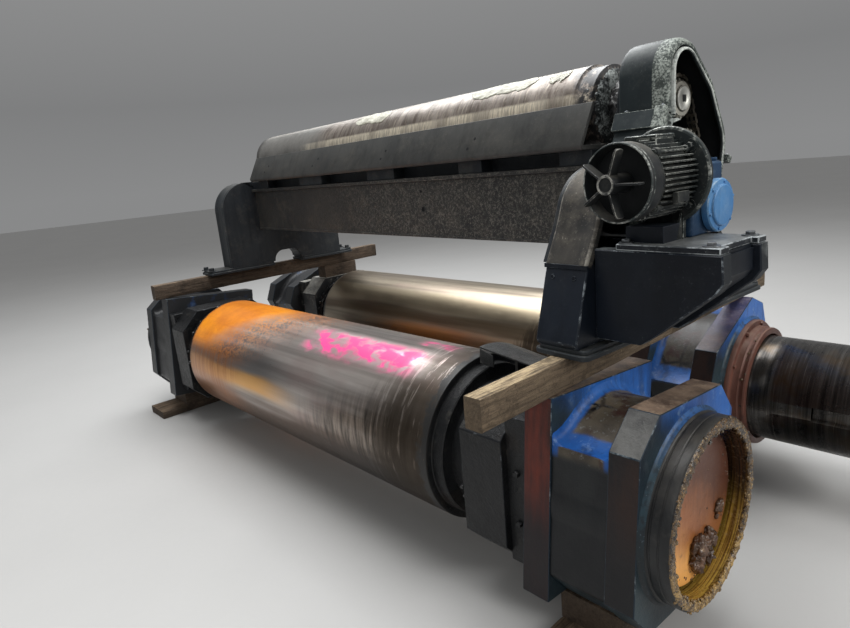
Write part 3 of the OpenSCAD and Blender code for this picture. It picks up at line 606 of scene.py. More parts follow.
def chock_mat(name, y0, z0, dirty=0.0, housing=False, tilt=0.0, dim=1.0):
    """oily blue castings: cobalt high up and dark teal low down, a painted highlight above and painted shade below;
    brown on top; front faces nearly black as painted shade
    """
    k = NM(name)
    N = k.sep(k.Nn)
    o = k.sep(k.P)
    wy, wz = k.math("SUBTRACT", o[1], y0), k.math("SUBTRACT", o[2], z0)
    ct, sn_ = math.cos(tilt), math.sin(tilt)
    dy = k.add(k.mul(wy, ct), k.mul(wz, sn_))
    dz = k.add(k.mul(wz, ct), k.mul(wy, -sn_))
    n1, n2, n3, n4 = k.noise(3.1, 6, 0.6), k.noise(13, 7, 0.65), k.noise(60, 5, 0.7), k.noise(190, 3, 0.7)
    run = k.noise(1, 6, 0.62, vec=k.scaled(k.P, (19, 19, 2.0)))
    blue = k.mix(k.ramp(n1, [(0.34, 0), (0.60, 1)]), (0.008, 0.060, 0.240), (0.022, 0.135, 0.470))
    blue = k.mix(k.mul(k.ramp(k.add(k.mul(n2, 0.6), k.mul(n3, 0.4)), [(0.54, 0), (0.64, 1)]), 0.5), blue, (0.26, 0.38, 0.56))
    blue = k.mix(k.mul(k.ramp(run, [(0.50, 0), (0.64, 1)]), 0.55), blue, (0.010, 0.022, 0.060))
    teal = k.mix(k.ramp(n1, [(0.36, 0), (0.62, 1)]), (0.010, 0.016, 0.024), (0.026, 0.046, 0.056))
    teal = k.mix(k.mul(k.ramp(n2, [(0.54, 0), (0.68, 1)]), 0.4), teal, (0.060, 0.080, 0.090))
    # painted light: cobalt higher up and toward the back, dark teal lower down
    high = k.add(k.add(k.mul(dz, 0.8), k.mul(dy, 0.55)), k.mul(k.math("SUBTRACT", n1, 0.5), 0.22))
    if housing:
        m = k.t.nodes.new("ShaderNodeAttribute")
        m.attribute_name = "pocket_edge"
        edge = k.add(m.outputs["Fac"], k.mul(k.math("SUBTRACT", n2, 0.5), 0.5))
        dirt = k.mix(k.ramp(n1, [(0.36, 0), (0.60, 1)]), (0.040 * dim, 0.032 * dim, 0.024 * dim), (0.170 * dim, 0.140 * dim, 0.095 * dim))
        dirt = k.mix(k.ramp(n2, [(0.50, 0), (0.62, 1)]), dirt, (0.045, 0.020, 0.015))
        dirt = k.mix(k.mul(k.ramp(k.voro(7.5, feature="DISTANCE_TO_EDGE"), [(0.02, 1), (0.07, 0)]), k.ramp(n1, [(0.44, 0), (0.56, 1)])), dirt, (0.008, 0.007, 0.007))
        dirt = k.mix(k.mul(k.ramp(n3, [(0.58, 0), (0.68, 1)]), 0.6), dirt, (0.24 * dim, 0.26 * dim, 0.26 * dim))
        col = k.mix(k.step(edge, 0.30, 0.58), dirt, blue)
        # painted shade: the housing turns dark teal low down
        low = k.step(k.add(dz, k.mul(k.math("SUBTRACT", n1, 0.5), 0.08)), 0.19, 0.155)
        col = k.mix(low, col, teal)
    else:
        col = k.mix(k.step(high, 0.10, 0.26), teal, blue)
    # machined top faces, brown and dirty
    brown = k.mix(k.ramp(n2, [(0.35, 0), (0.62, 1)]), (0.062, 0.040, 0.030), (0.225, 0.160, 0.115))
    brown = k.mix(k.mul(k.ramp(n3, [(0.55, 0), (0.68, 1)]), 0.55), brown, (0.36, 0.28, 0.20))
    brown = k.mix(k.mul(k.ramp(n1, [(0.50, 0), (0.64, 1)]), 0.6), brown, (0.080, 0.076, 0.072))
    up = k.step(N[2], 0.93, 0.985) if not housing else k.mul(k.step(N[2], 0.985, 0.999), 0.0)
    if not housing:
        col = k.mix(up, col, brown)
        # sloping corner faces, plain grey
        slope = k.mul(k.mul(k.step(N[2], 0.30, 0.40), k.step(N[2], 0.90, 0.96, 1.0, 0.0)), k.step(k.math("ABSOLUTE", N[0]), 0.3, 0.5, 1.0, 0.0))
        if tilt > 0.2:
            grey = k.mix(k.ramp(n2, [(0.36, 0), (0.62, 1)]), (0.036, 0.018, 0.012), (0.105, 0.058, 0.040))
            grey = k.mix(k.mul(k.ramp(n3, [(0.58, 0), (0.68, 1)]), 0.5), grey, (0.22, 0.16, 0.12))
        else:
            grey = k.mix(k.ramp(n2, [(0.38, 0), (0.62, 1)]), (0.030, 0.030, 0.029), (0.092, 0.092, 0.088))
        col = k.mix(slope, col, grey)
    # front faces: nearly black as painted shade, with patches of dark red
    red = k.mul(k.ramp(k.add(k.mul(n1, 0.4), k.mul(run, 0.6)), [(0.36, 0), (0.54, 1)]), k.step(dz, -0.12, 0.16, 0.06, 1.0))
    inner = k.step(k.math("ABSOLUTE", k.add(o[0], OX / 1000)), 1.66, 1.60) if tilt < 0.2 else 0.0
    blk = k.mix(red, (0.0035, 0.0042, 0.0060), k.mix(inner, (0.022, 0.009, 0.006), (0.120, 0.018, 0.008)) if not housing else (0.009, 0.011, 0.012))
    fr = k.step(k.mul(N[1], -1.0), 0.72, 0.90)
    if housing:
        fr = k.mul(fr, k.step(dz, 0.21, 0.17))
    col = k.mix(fr, col, blk)
    if dirty:
        grim = k.ramp(k.add(k.mul(n1, 0.5), k.mul(n2, 0.5)), [(0.40 + dirty * 0.15, 1), (0.52 + dirty * 0.15, 0.55)])
        col = k.mix(k.mul(grim, min(1.0, dirty + 0.15)), col, (0.020, 0.021, 0.023))
    k.set("Base Color", col)
    k.set("Metallic", 0.0)
    k.set("Specular IOR Level", 0.30)
    k.set("Roughness", k.add(k.mul(n2, 0.36), 0.24))
    k.normal(k.bump(k.add(k.mul(n2, 0.9), k.add(k.mul(n3, 0.6), k.mul(n4, 0.3))), 0.60, 0.0026))
    return k.m


TR = math.radians(23.0)
CH = chock_mat("chock_blue_front", Y_F, Z_F)
CH_R = chock_mat("chock_blue_rear", Y_R, Z_R, tilt=TR)
CH_D = chock_mat("chock_blue_dirty", Y_F, Z_F, dirty=1.15)
CH_DR = chock_mat("chock_blue_dirty_rear", Y_R, Z_R, dirty=1.15, tilt=TR)
CH_E = edge_worn("chock_edge", (0.012, 0.022, 0.034), (0.22, 0.26, 0.28), 0.24, metal=0.1, s1=9.0, s2=80)
CHB = chock_mat("chock_housing_front", Y_F, Z_F, housing=True)
CHB_R = chock_mat("chock_housing_rear", Y_R, Z_R, housing=True, tilt=TR, dirty=0.35, dim=0.45)
CHB_D = chock_mat("chock_housing_dirty", Y_F, Z_F, dirty=1.15, housing=True)
CHB_DR = chock_mat("chock_housing_dirty_rear", Y_R, Z_R, dirty=1.15, housing=True, tilt=TR)


def iron(name, c0, c1, rub, rough=0.36, metal=0.4, hi=(0.115, 0.098, 0.082)):
    k = NM(name)
    N = k.sep(k.Nn)
    n1, n2, n3 = k.noise(4, 6, 0.6), k.noise(24, 6, 0.65), k.noise(120, 4, 0.7)
    col = k.mix(k.ramp(n1, [(0.34, 0), (0.66, 1)]), c0, c1)
    col = k.mix(k.mul(k.ramp(n2, [(0.54, 0), (0.68, 1)]), 0.5), col, rub)
    # upward faces lighter in the hi colour: painted highlight on the tops
    up = k.mul(k.step(N[2], 0.3, 0.9), k.ramp(n2, [(0.35, 0.3), (0.6, 0.9)]))
    col = k.mix(k.mul(up, 0.7), col, hi)
    k.set("Base Color", col)
    k.set("Metallic", metal)
    k.set("Specular IOR Level", 0.3)
    k.set("Roughness", k.add(k.mul(n2, 0.32), rough - 0.14))
    k.normal(k.bump(k.add(n2, k.mul(n3, 0.5)), 0.6, 0.0022))
    return k.m


RING = iron("ring_dark", (0.006, 0.0065, 0.0075), (0.020, 0.021, 0.022), (0.045, 0.043, 0.040), metal=0.05, hi=(0.062, 0.056, 0.048))
RUST = iron("cover_rust", (0.060, 0.022, 0.015), (0.150, 0.062, 0.044), (0.024, 0.014, 0.011), rough=0.46, metal=0.05, hi=(0.200, 0.130, 0.100))


def goo(name, c0, c1, c2, rough=0.30):
    k = NM(name)
    n1, n2, n3 = k.noise(13, 6, 0.62), k.noise(60, 5, 0.65), k.noise(210, 3, 0.7)
    col = k.mix(k.ramp(n1, [(0.36, 0), (0.62, 1)]), c0, c1)
    col = k.mix(k.ramp(n2, [(0.56, 0), (0.70, 1)]), col, c2)
    k.set("Base Color", col)
    k.set("Roughness", k.add(k.mul(n2, 0.35), rough - 0.15))
    k.set("Specular IOR Level", 0.6)
    k.normal(k.bump(k.add(n2, k.mul(n3, 0.3)), 0.6, 0.002))
    return k.m


GOLD = goo("grease_golden", (0.110, 0.055, 0.014), (0.400, 0.235, 0.060), (0.040, 0.022, 0.010), rough=0.26)
GOLD_D = goo("grease_golden_dark", (0.030, 0.018, 0.010), (0.160, 0.090, 0.028), (0.340, 0.240, 0.110), rough=0.28)
# the pale third colour of the brown clumps is painted glints
CLUMP = goo("grease_brown", (0.030, 0.015, 0.008), (0.120, 0.055, 0.026), (0.30, 0.20, 0.12), rough=0.28)
SEAL = goo("grease_seal", (0.020, 0.015, 0.012), (0.170, 0.105, 0.045), (0.010, 0.009, 0.008), rough=0.30)
BLACKGOO = goo("grease_black_lump", (0.005, 0.005, 0.006), (0.016, 0.016, 0.017), (0.060, 0.060, 0.056), rough=0.28)


def crust_mat():
    """crust on the front rings: dark brown above, golden lower down"""
    k = NM("grease_crust")
    o = k.sep(k.P)
    dz = k.math("SUBTRACT", o[2], Z_F)
    n1, n2, n3, n4 = k.noise(6, 5, 0.6), k.noise(34, 6, 0.66), k.noise(110, 5, 0.7), k.noise(260, 3, 0.7)
    dark = k.mix(k.ramp(n2, [(0.38, 0), (0.62, 1)]), (0.010, 0.007, 0.005), (0.150, 0.082, 0.026))
    gold = k.mix(k.ramp(n2, [(0.38, 0), (0.60, 1)]), (0.085, 0.042, 0.012), (0.430, 0.270, 0.080))
    v = k.add(k.mul(dz, -2.2), k.mul(k.math("SUBTRACT", n1, 0.5), 1.2))
    col = k.mix(k.step(v, -0.15, 0.55), dark, gold)
    # golden specks: painted glints
    col = k.mix(k.mul(k.ramp(n3, [(0.59, 0), (0.65, 1)]), 0.75), col, (0.62, 0.46, 0.22))
    col = k.mix(k.mul(k.ramp(n3, [(0.40, 1), (0.47, 0)]), 0.92), col, (0.008, 0.005, 0.004))
    k.set("Base Color", col)
    k.set("Roughness", k.add(k.mul(n2, 0.26), 0.10))
    k.set("Specular IOR Level", 0.7)
    k.normal(k.bump(k.add(n3, k.mul(n4, 0.4)), 0.8, 0.0022))
    return k.m


GOLD_C = crust_mat()


def recess_mat():
    """inside wall of the front rings: thin oil in dark and golden turning lines"""
    k = NM("ring_recess")
    px, ang, dy, dz = k.polar(Y_F, Z_F)
    ln = k.noise(1, 4, 0.6, vec=k.comb(k.mul(px, 210.0), k.mul(ang, 0.7), 0.0))
    n1, n2 = k.noise(9, 6, 0.62), k.noise(60, 5, 0.68)
    lowg = k.step(k.add(dz, k.mul(k.math("SUBTRACT", n1, 0.5), 0.12)), 0.02, -0.16)
    dark = k.mix(k.ramp(ln, [(0.42, 0), (0.60, 1)]), (0.010, 0.007, 0.005), (0.085, 0.040, 0.018))
    gold = k.mix(k.ramp(ln, [(0.40, 0), (0.58, 1)]), (0.150, 0.075, 0.014), (0.560, 0.370, 0.070))
    col = k.mix(lowg, dark, gold)
    col = k.mix(k.mul(k.ramp(n2, [(0.60, 0), (0.68, 1)]), 0.5), col, (0.45, 0.34, 0.18))
    k.set("Base Color", col)
    k.set("Roughness", k.add(k.mul(n2, 0.25), 0.14))
    k.set("Metallic", 0.25)
    k.normal(k.bump(k.add(ln, k.mul(n2, 0.4)), 0.35, 0.0010))
    return k.m


RECESS = recess_mat()


def disc_mat():
    k = NM("end_cap_tan")
    o = k.sep(k.P)
    dz, dy = k.math("SUBTRACT", o[2], Z_F), k.math("SUBTRACT", o[1], Y_F)
    n1, n2, n3 = k.noise(5.5, 6, 0.62), k.noise(30, 6, 0.66), k.noise(140, 4, 0.7)
    st = k.noise(1, 4, 0.6, vec=k.scaled(k.P, (1, 70, 3)))
    # painted light: dark at the top, bright orange low and toward the front
    v = k.add(k.add(k.mul(dz, -2.1), k.mul(dy, -1.5)), k.add(k.mul(n1, 0.50), k.add(k.mul(st, 0.22), -0.02)))
    col = k.mix(k.ramp(v, [(0.02, 0), (0.50, 1)], ease=True), (0.075, 0.022, 0.009), (0.290, 0.100, 0.030))
    col = k.mix(k.ramp(v, [(0.44, 0), (0.92, 1)], ease=True), col, (0.900, 0.440, 0.120))
    col = k.mix(k.mul(k.ramp(n2, [(0.57, 0), (0.66, 1)]), 0.45), col, (0.090, 0.034, 0.014))
    col = k.mix(k.mul(k.ramp(n3, [(0.62, 0), (0.72, 1)]), 0.3), col, (0.70, 0.42, 0.18))
    k.set("Base Color", col)
    k.set("Roughness", k.add(k.mul(n2, 0.30), 0.30))
    k.normal(k.bump(k.add(n2, k.mul(n3, 0.4)), 0.35, 0.0014))
    return k.m


DISC = disc_mat()


def wood(name, pale, side, dark, y_along=True):
    k = NM(name)
    N = k.sep(k.Nn)
    g = k.noise(1, 8, 0.68, vec=k.scaled(k.P, (85, 6.0, 85)), dist=0.5)
    g2 = k.noise(1, 4, 0.6, vec=k.scaled(k.P, (210, 16, 210)))
    n1, n2, n3 = k.noise(7.0, 6, 0.62), k.noise(36, 6, 0.72), k.noise(120, 5, 0.75)
    # painted light: tops pale, sides darker
    up = k.step(N[2], 0.5, 0.9)
    end = k.step(k.math("ABSOLUTE", N[1]), 0.7, 0.9)
    base = k.mix(up, side, pale)
    base = k.mix(end, base, tuple(c * 0.8 for c in side))
    col = k.mix(k.ramp(g, [(0.38, 0), (0.60, 1)]), tuple(c * 0.55 for c in side), base)
    col = k.mix(k.mul(k.ramp(g2, [(0.54, 0), (0.66, 1)]), 0.5), col, dark)
    col = k.mix(k.mul(k.ramp(k.add(k.mul(n1, 0.6), k.mul(n2, 0.4)), [(0.50, 0), (0.60, 1)]), 0.70), col, dark)
    col = k.mix(k.mul(k.ramp(n3, [(0.58, 0), (0.64, 1)]), 0.75), col, tuple(c * 0.7 for c in dark))
    col = k.mix(k.mul(k.ramp(n2, [(0.62, 0), (0.72, 1)]), 0.30), col, tuple(min(1, c * 1.25) for c in pale))
    k.set("Base Color", col)
    k.set("Roughness", k.add(k.mul(n2, 0.2), 0.66))
    k.set("Specular IOR Level", 0.25)
    k.normal(k.bump(k.add(k.mul(g, 1.4), k.add(k.mul(g2, 0.6), k.mul(n3, 0.8))), 1.0, 0.0045))
    return k.m


WOODN = wood("wood_new", (0.480, 0.370, 0.225), (0.190, 0.140, 0.092), (0.052, 0.038, 0.026))
WOODO = wood("wood_old", (0.210, 0.150, 0.100), (0.105, 0.076, 0.054), (0.024, 0.018, 0.014))


def blender_mat():
    k = NM("blender_steel")
    r = k.scaled(k.P, (1, 1, 1), rot=(0, 0, math.radians(4.2)))
    o = k.sep(r)
    c = UNIT @ Vector((0, 0, 1.19))
    rc = Matrix.Rotation(math.radians(4.2), 3, "Z") @ Vector(c[:3])
    dy, dz = k.math("SUBTRACT", o[1], rc.y), k.math("SUBTRACT", o[2], rc.z)
    ang = k.math("ARCTAN2", dy, dz)
    x = k.math("SUBTRACT", o[0], rc.x)
    st = k.noise(1, 6, 0.65, vec=k.comb(k.mul(x, 26.0), k.mul(ang, 0.9), 0.0))
    st2 = k.noise(1, 4, 0.65, vec=k.comb(k.mul(x, 95.0), k.mul(ang, 1.6), 5.0))
    n1, n2, n3 = k.noise(6, 6, 0.62), k.noise(34, 6, 0.68), k.noise(130, 4, 0.7)
    left = k.step(k.add(x, k.mul(k.math("SUBTRACT", n1, 0.5), 0.5)), -0.62, -0.35)
    col = k.mix(k.ramp(n1, [(0.36, 0), (0.62, 1)]), (0.150, 0.128, 0.110), (0.300, 0.262, 0.228))
    col = k.mix(k.mul(k.ramp(st, [(0.46, 0), (0.62, 1)]), 0.80), col, (0.075, 0.052, 0.040))
    col = k.mix(k.mul(k.ramp(st2, [(0.54, 0), (0.66, 1)]), 0.65), col, (0.420, 0.365, 0.300))
    # the left third is plain and grey
    plain = k.mix(k.ramp(n1, [(0.36, 0), (0.64, 1)]), (0.150, 0.145, 0.135), (0.245, 0.238, 0.222))
    col = k.mix(left, plain, col)
    # bright band low on the front, cut up by dark turning lines
    bright = k.mul(k.step(ang, -1.50, -1.44), k.step(ang, -1.24, -1.16, 1.0, 0.0))
    gap = k.noise(1, 3, 0.6, vec=k.comb(k.mul(x, 2.6), 0.0, 11.0))
    bright = k.mul(k.mul(bright, k.step(k.add(x, k.mul(k.math("SUBTRACT", n1, 0.5), 0.3)), -0.72, -0.58)), k.ramp(gap, [(0.40, 0.15), (0.50, 1)]))
    col = k.mix(k.mul(bright, k.ramp(st2, [(0.44, 1), (0.60, 0.35)])), col, (0.80, 0.72, 0.57))
    # pale painted highlight on the crown, also made less metallic
    crown = k.mul(k.step(k.math("ABSOLUTE", ang), 0.62, 0.30), k.ramp(n2, [(0.36, 0.35), (0.56, 1)]))
    col = k.mix(k.mul(crown, 0.65), col, (0.340, 0.310, 0.270))
    # dried black at the right end
    e = k.step(k.add(x, k.mul(k.math("SUBTRACT", n1, 0.5), 0.25)), 1.29, 1.36)
    gl = k.ramp(n2, [(0.50, 1), (0.60, 0.1)])
    blk = k.mul(e, gl)
    col = k.mix(blk, col, (0.018, 0.018, 0.020))
    el = k.step(k.add(x, k.mul(k.math("SUBTRACT", n1, 0.5), 0.2)), -1.36, -1.30, 1.0, 0.0)
    col = k.mix(k.mul(el, 0.7), col, (0.03, 0.028, 0.026))
    dirt = k.mul(k.ramp(n3, [(0.60, 0), (0.70, 1)]), 0.45)
    col = k.mix(dirt, col, (0.07, 0.052, 0.038))
    k.set("Base Color", col)
    k.set("Metallic", k.mixf(k.math("MAXIMUM", blk, k.mul(crown, 0.8)), 0.62, 0.1))
    k.set("Roughness", k.add(k.mul(n2, 0.26), k.add(k.mul(st, 0.16), 0.20)))
    k.normal(k.bump(k.add(k.mul(st, 0.8), k.add(k.mul(st2, 0.4), k.add(n2, k.mul(blk, 0.8)))), 0.4, 0.0014))
    return k.m


BLEND = blender_mat()


def sheet_mat(name, c0, c1):
    k = NM(name)
    n1, n2 = k.noise(14, 6, 0.65), k.noise(70, 5, 0.7)
    col = k.mix(k.ramp(n1, [(0.36, 0), (0.64, 1)]), c0, c1)
    col = k.mix(k.mul(k.ramp(n2, [(0.58, 0), (0.70, 1)]), 0.6), col, (0.07, 0.055, 0.04))
    k.set("Base Color", col)
    k.set("Roughness", k.add(k.mul(n2, 0.3), 0.40))
    k.normal(k.bump(k.add(n1, k.mul(n2, 0.4)), 0.7, 0.003))
    return k.m


RUBBER = sheet_mat("rubber_scrap", (0.24, 0.23, 0.18), (0.50, 0.49, 0.41))
FOIL = edge_worn("end_crust", (0.024, 0.027, 0.028), (0.44, 0.48, 0.47), 0.50, rough=0.40, metal=0.3, s1=16.0, s2=110, wt=0.55)

# ------------------------------------------------------------------ outline helpers
def hull2(pts):
    pts = sorted(set((round(a, 4), round(b, 4)) for a, b in pts))
    def half(seq):
        h = []
        for p in seq:
            while len(h) > 1 and (h[-1][0] - h[-2][0]) * (p[1] - h[-2][1]) - (h[-1][1] - h[-2][1]) * (p[0] - h[-2][0]) <= 0:
                h.pop()
            h.append(p)
        return h[:-1]
    return half(pts) + half(pts[::-1])


def circ(c, r, n=96, a0=0.0, a1=2 * pi):
    return [(c[0] + r * math.cos(a0 + (a1 - a0) * i / n), c[1] + r * math.sin(a0 + (a1 - a0) * i / n)) for i in range(n)]


def resample(pts, n):
    """n even places round a closed outline, with the outward normal at each (outline runs anticlockwise)"""
    P = [Vector(p) for p in pts]
    L = [0.0]
    for i in range(len(P)):
        L.append(L[-1] + (P[(i + 1) % len(P)] - P[i]).length)
    out = []
    j = 0
    for i in range(n):
        t = L[-1] * i / n
        while L[j + 1] < t:
            j += 1
        a, b = P[j], P[(j + 1) % len(P)]
        out.append(a + (b - a) * ((t - L[j]) / max(1e-9, L[j + 1] - L[j])))
    nor = []
    for i in range(n):
        d = (out[(i + 1) % n] - out[i - 1]).normalized()
        nor.append(Vector((d.y, -d.x)))
    return out, nor


def inset(poly, d):
    """outline (anticlockwise) moved inwards by d, with mitred corners"""
    n = len(poly)
    res = []
    for i in range(n):
        p0, p1, p2 = Vector(poly[i - 1]), Vector(poly[i]), Vector(poly[(i + 1) % n])
        a, b = (p1 - p0).normalized(), (p2 - p1).normalized()
        na, nb = Vector((-a.y, a.x)), Vector((-b.y, b.x))
        m = (na + nb)
        m = m / max(0.2, m.dot(na))
        res.append(tuple(p1 + m * d))
    return res


def octo(w, h, c):
    return [(-w / 2 + c, -h / 2), (w / 2 - c, -h / 2), (w / 2, -h / 2 + c), (w / 2, h / 2 - c), (w / 2 - c, h / 2), (-w / 2 + c, h / 2), (-w / 2, h / 2 - c), (-w / 2, -h / 2 + c)]


# ------------------------------------------------------------------ mill rolls
HF, RR, NR = 1067.0, 330.0, 226.0


def roll_prof(left, right, end_mat_from=None):
    return [(0, -left), (NR - 8, -left), (NR, -left + 8), (NR, -HF - 150), (NR + 10, -HF - 132), (NR + 24, -HF - 110), (NR + 24, -HF - 56), (NR + 30, -HF - 53), (296, -HF - 53), (300, -HF - 49), (300, -HF - 3), (304, -HF),
            (RR - 7, -HF), (RR - 2, -HF + 2), (RR, -HF + 8), (RR, -700), (RR, -350), (RR, 0), (RR, 350), (RR, 700), (RR, HF - 8), (RR - 2, HF - 2), (RR - 7, HF), (304, HF), (300, HF + 3), (300, HF + 49), (296, HF + 53),
            (NR + 30, HF + 53), (NR + 24, HF + 56), (NR + 24, HF + 110), (NR + 10, HF + 132), (NR, HF + 150), (NR, right - 8), (NR - 8, right), (0, right)]


def mats_of(prof, barrel=0, end=1, neck=2):
    out = []
    for a, b in zip(prof, prof[1:]):
        lo = max(abs(a[1]), abs(b[1]))
        out.append(barrel if lo <= HF and min(a[0], b[0]) > 310 else end if lo < HF + 160 else neck)
    return out


m = MB()
pr = roll_prof(1882, 1882)
m.lathe(pr, 192, mat=mats_of(pr))
m.done("mill_roll_front", FRONT, "front_roll", [ROLL_F, GREASY, NECK_F], ["front_roll"])

m = MB()
pr = roll_prof(1905, 1960)
pr[-2:] = [(NR - 1, 1960)]
pr[-2] = (NR, 1955)
pr.append((NR - 1, 2190))
m.lathe(pr, 192, mat=mats_of(pr))
ring = []
for i in range(192):
    a = 2 * pi * i / 192
    y, z = 225 * math.sin(a), 225 * math.cos(a)
    ring.append((y, z))
key = []
for y, z in ring:
    key.append((202.0 * (1 if y > 0 else -1), z) if abs(z) <= 28 and abs(y) > 150 else (y, z))
R3 = [[(x, q[0] * s, q[1] * s) for q in key] for x, s in ((2190, 1.0), (2424, 1.0), (2430, 0.973))]
m.loft(R3, mat=2)
m.done("mill_roll_rear", REAR, "rear_roll", [ROLL_R, GREASY, NECK_R], ["rear_roll"], merge=True)

# tan end discs with the brown clumps of grease left on the right one
m = MB()
for s in (1, -1):
    m.lathe([(0, s * 1894), (225, s * 1894), (236, s * 1891), (238, s * 1886), (238, s * 1882)], 128)
m.done("roll_end_discs", FRONT, "front_roll", [DISC], ["front_roll_end_cap"])
m = MB()
for i in range(34):
    u = RNG.random()
    y = -30 + 112 * u + RNG.uniform(-16, 16)
    z = -120 - 34 * math.sin(u * 3.0) + RNG.uniform(-46, 30)
    if math.hypot(y, z) > 220:
        continue
    m.blob((1894 + RNG.uniform(2, 16), y, z), RNG.uniform(10, 24), i, (0.8, 1.0, 1.1), sub=3, rough=0.95)
for i in range(7):
    m.blob((1898, 148 + RNG.uniform(-14, 12), -72 + RNG.uniform(-20, 18)), RNG.uniform(8, 15), 40 + i, (0.7, 1, 1), sub=2, rough=0.8)
for i in range(70):
    a = RNG.uniform(0, 2 * pi)
    r = RNG.uniform(200, 233) if RNG.random() < 0.75 else RNG.uniform(60, 190)
    m.blob((1894, r * math.sin(a), r * math.cos(a)), RNG.uniform(1.5, 5.0), 60 + i, (0.5, 1, 1.2), sub=1, rough=0.6)
m.done("disc_grease", FRONT, "front_roll", [CLUMP], sharp=180, merge=False)


# ------------------------------------------------------------------ chocks
def ray_out(poly, c, s):
    """distance from the middle to the outline along the direction (c, s)"""
    best = 1e9
    n = len(poly)
    for i in range(n):
        (y0, z0), (y1, z1) = poly[i], poly[(i + 1) % n]
        ey, ez = y1 - y0, z1 - z0
        det = c * -ez + ey * s
        if abs(det) < 1e-9:
            continue
        t = (y0 * -ez + ey * z0) / det
        u = (c * z0 - s * y0) / det
        if t > 0 and -1e-6 <= u <= 1 + 1e-6:
            best = min(best, t)
    return best


def smin(a, b, k):
    h = max(k - abs(a - b), 0.0) / k
    return min(a, b) - h * h * k * 0.25


def chock(name, M, inner, body_pts, node, mats, seed):
    m = MB()
    m.prism(inner, 1477, 1577, "x")
    m.prism(octo(600, 660, 100), 1772, 1865, "x")
    m.done(name + "_flanges", M, "stand", [mats[0], CH_E], [node], bevel=(2.6, 2, 1))
    # round housing and square saddle between the flanges, cast in one with wide fillets
    outer = octo(600, 660, 100)
    xs = [1575.0 + d for d in (0, 2, 5, 9, 14, 20, 28, 38, 52, 70, 92)]
    xs += [1774.0 - d for d in (92, 70, 52, 38, 28, 20, 14, 9, 5, 2, 0)]
    na = 288
    rows, marks = [], []
    off = Vector((seed * 1.7, seed * 0.9, seed * 2.3))
    for x in xs:
        row = []
        for j in range(na):
            a = 2 * pi * j / na
            c, s = math.sin(a), math.cos(a)
            lim = min(ray_out(inner, c, s), ray_out(outer, c, s)) - 7.0
            # walk in along the ray until the rounded union of all faces is met
            lo, hi = 200.0, max(lim, 290.0)
            for _ in range(18):
                r = (lo + hi) / 2
                y, z = r * c, r * s
                box = max(abs(y) - 284.0, z - 190.0, -z - 324.0)
                if len(body_pts) > 4:
                    box = max(box, (abs(y) - z - 524.0) * 0.7071)
                d = smin(r - 288.0, box, 52.0)
                fl = smin(x - 1577.0, 1772.0 - x, 1.0)
                d = smin(d, max(fl, -2.0) + 1.0, 46.0)
                if d > 0:
                    hi = r
                else:
                    lo = r
            r = min((lo + hi) / 2 + 2.4 * noise.noise(Vector((x * 0.012, c * 3.2, s * 3.2)) + off), max(lim, 287.0))
            row.append((x, r * c, r * s))
            # how near to a fillet above the saddle
            near = 0.0
            if r * s > 150.0:
                e = min(x - 1575.0, 1774.0 - x)
                near = max(0.0, 1.0 - e / 42.0) if r > 289.0 or e < 20 else 0.0
                if abs(r * s - 196.0) < 26.0 and r < lim - 4:
                    near = max(near, 1.0 - abs(r * s - 196.0) / 30.0)
            marks.append(near)
        rows.append(row)
    m = MB()
    m.loft(rows, cap=False)
    ob = m.done(name + "_housing", M, "stand", [mats[1]], sharp=75, merge=False, fix=True)
    at = ob.data.attributes.new("pocket_edge", "FLOAT", "POINT")
    at.data.foreach_set("value", marks)
    # short cone from the outer flange to the cover
    m = MB()
    m.lathe([(304, 1864), (301, 1866), (296, 1869), (292.5, 1874), (291, 1880), (289, 1880), (289, 1864)], 128, ring=True)
    m.done(name + "_fillet", M, "stand", [mats[2]], sharp=60)


def fillet_mat(name, y0, z0, dirty=False):
    k = NM(name)
    o = k.sep(k.P)
    dz = k.math("SUBTRACT", o[2], z0)
    n1, n2, n3 = k.noise(7, 6, 0.6), k.noise(30, 6, 0.65), k.noise(130, 4, 0.7)
    # painted light: dark low down, teal higher, and blue at the top as a painted highlight; the dirty copy has no blue
    # top
    v = k.add(dz, k.mul(k.math("SUBTRACT", n1, 0.5), 0.22))
    col = k.mix(k.step(v, -0.02, 0.18), (0.010, 0.017, 0.021), (0.022, 0.046, 0.062))
    if not dirty:
        col = k.mix(k.step(v, 0.20, 0.32), col, (0.028, 0.105, 0.290))
    col = k.mix(k.mul(k.ramp(n2, [(0.50, 0), (0.62, 1)]), 0.7), col, (0.012, 0.014, 0.018))
    col = k.mix(k.mul(k.ramp(n3, [(0.62, 0), (0.68, 1)]), 0.5), col, (0.16, 0.20, 0.24))
    k.set("Base Color", col)
    k.set("Specular IOR Level", 0.3)
    k.set("Roughness", k.add(k.mul(n2, 0.30), 0.26))
    k.normal(k.bump(k.add(n2, k.mul(n3, 0.4)), 0.45, 0.0018))
    return k.m


FIL = fillet_mat("fillet_front", Y_F, Z_F)
FIL_R = fillet_mat("fillet_rear", Y_R, Z_R)
FIL_D = fillet_mat("fillet_dirty", Y_F, Z_F, True)
SQ = [(-290, -330), (290, -330), (320, -300), (320, 332.5), (-290, 332.5)]
SAD = [(-285, -325), (285, -325), (285, 190), (-285, 190)]
SADR = [(-284, -240), (-200, -324), (200, -324), (284, -240), (284, 190), (-284, 190)]
chock("chock_fr", FCH, SQ, SAD, "chock_front_right", (CH, CHB, FIL), 1)
chock("chock_fl", FCH @ MIRX, SQ, SAD, "chock_front_left", (CH_D, CHB_D, FIL_D), 2)
chock("chock_rr", RCH, octo(600, 660, 100), SADR, "chock_rear_right", (CH_R, CHB_R, FIL_R), 3)
chock("chock_rl", RCH @ MIRX, octo(600, 660, 100), SADR, "chock_rear_left", (CH_DR, CHB_DR, FIL_D), 4)


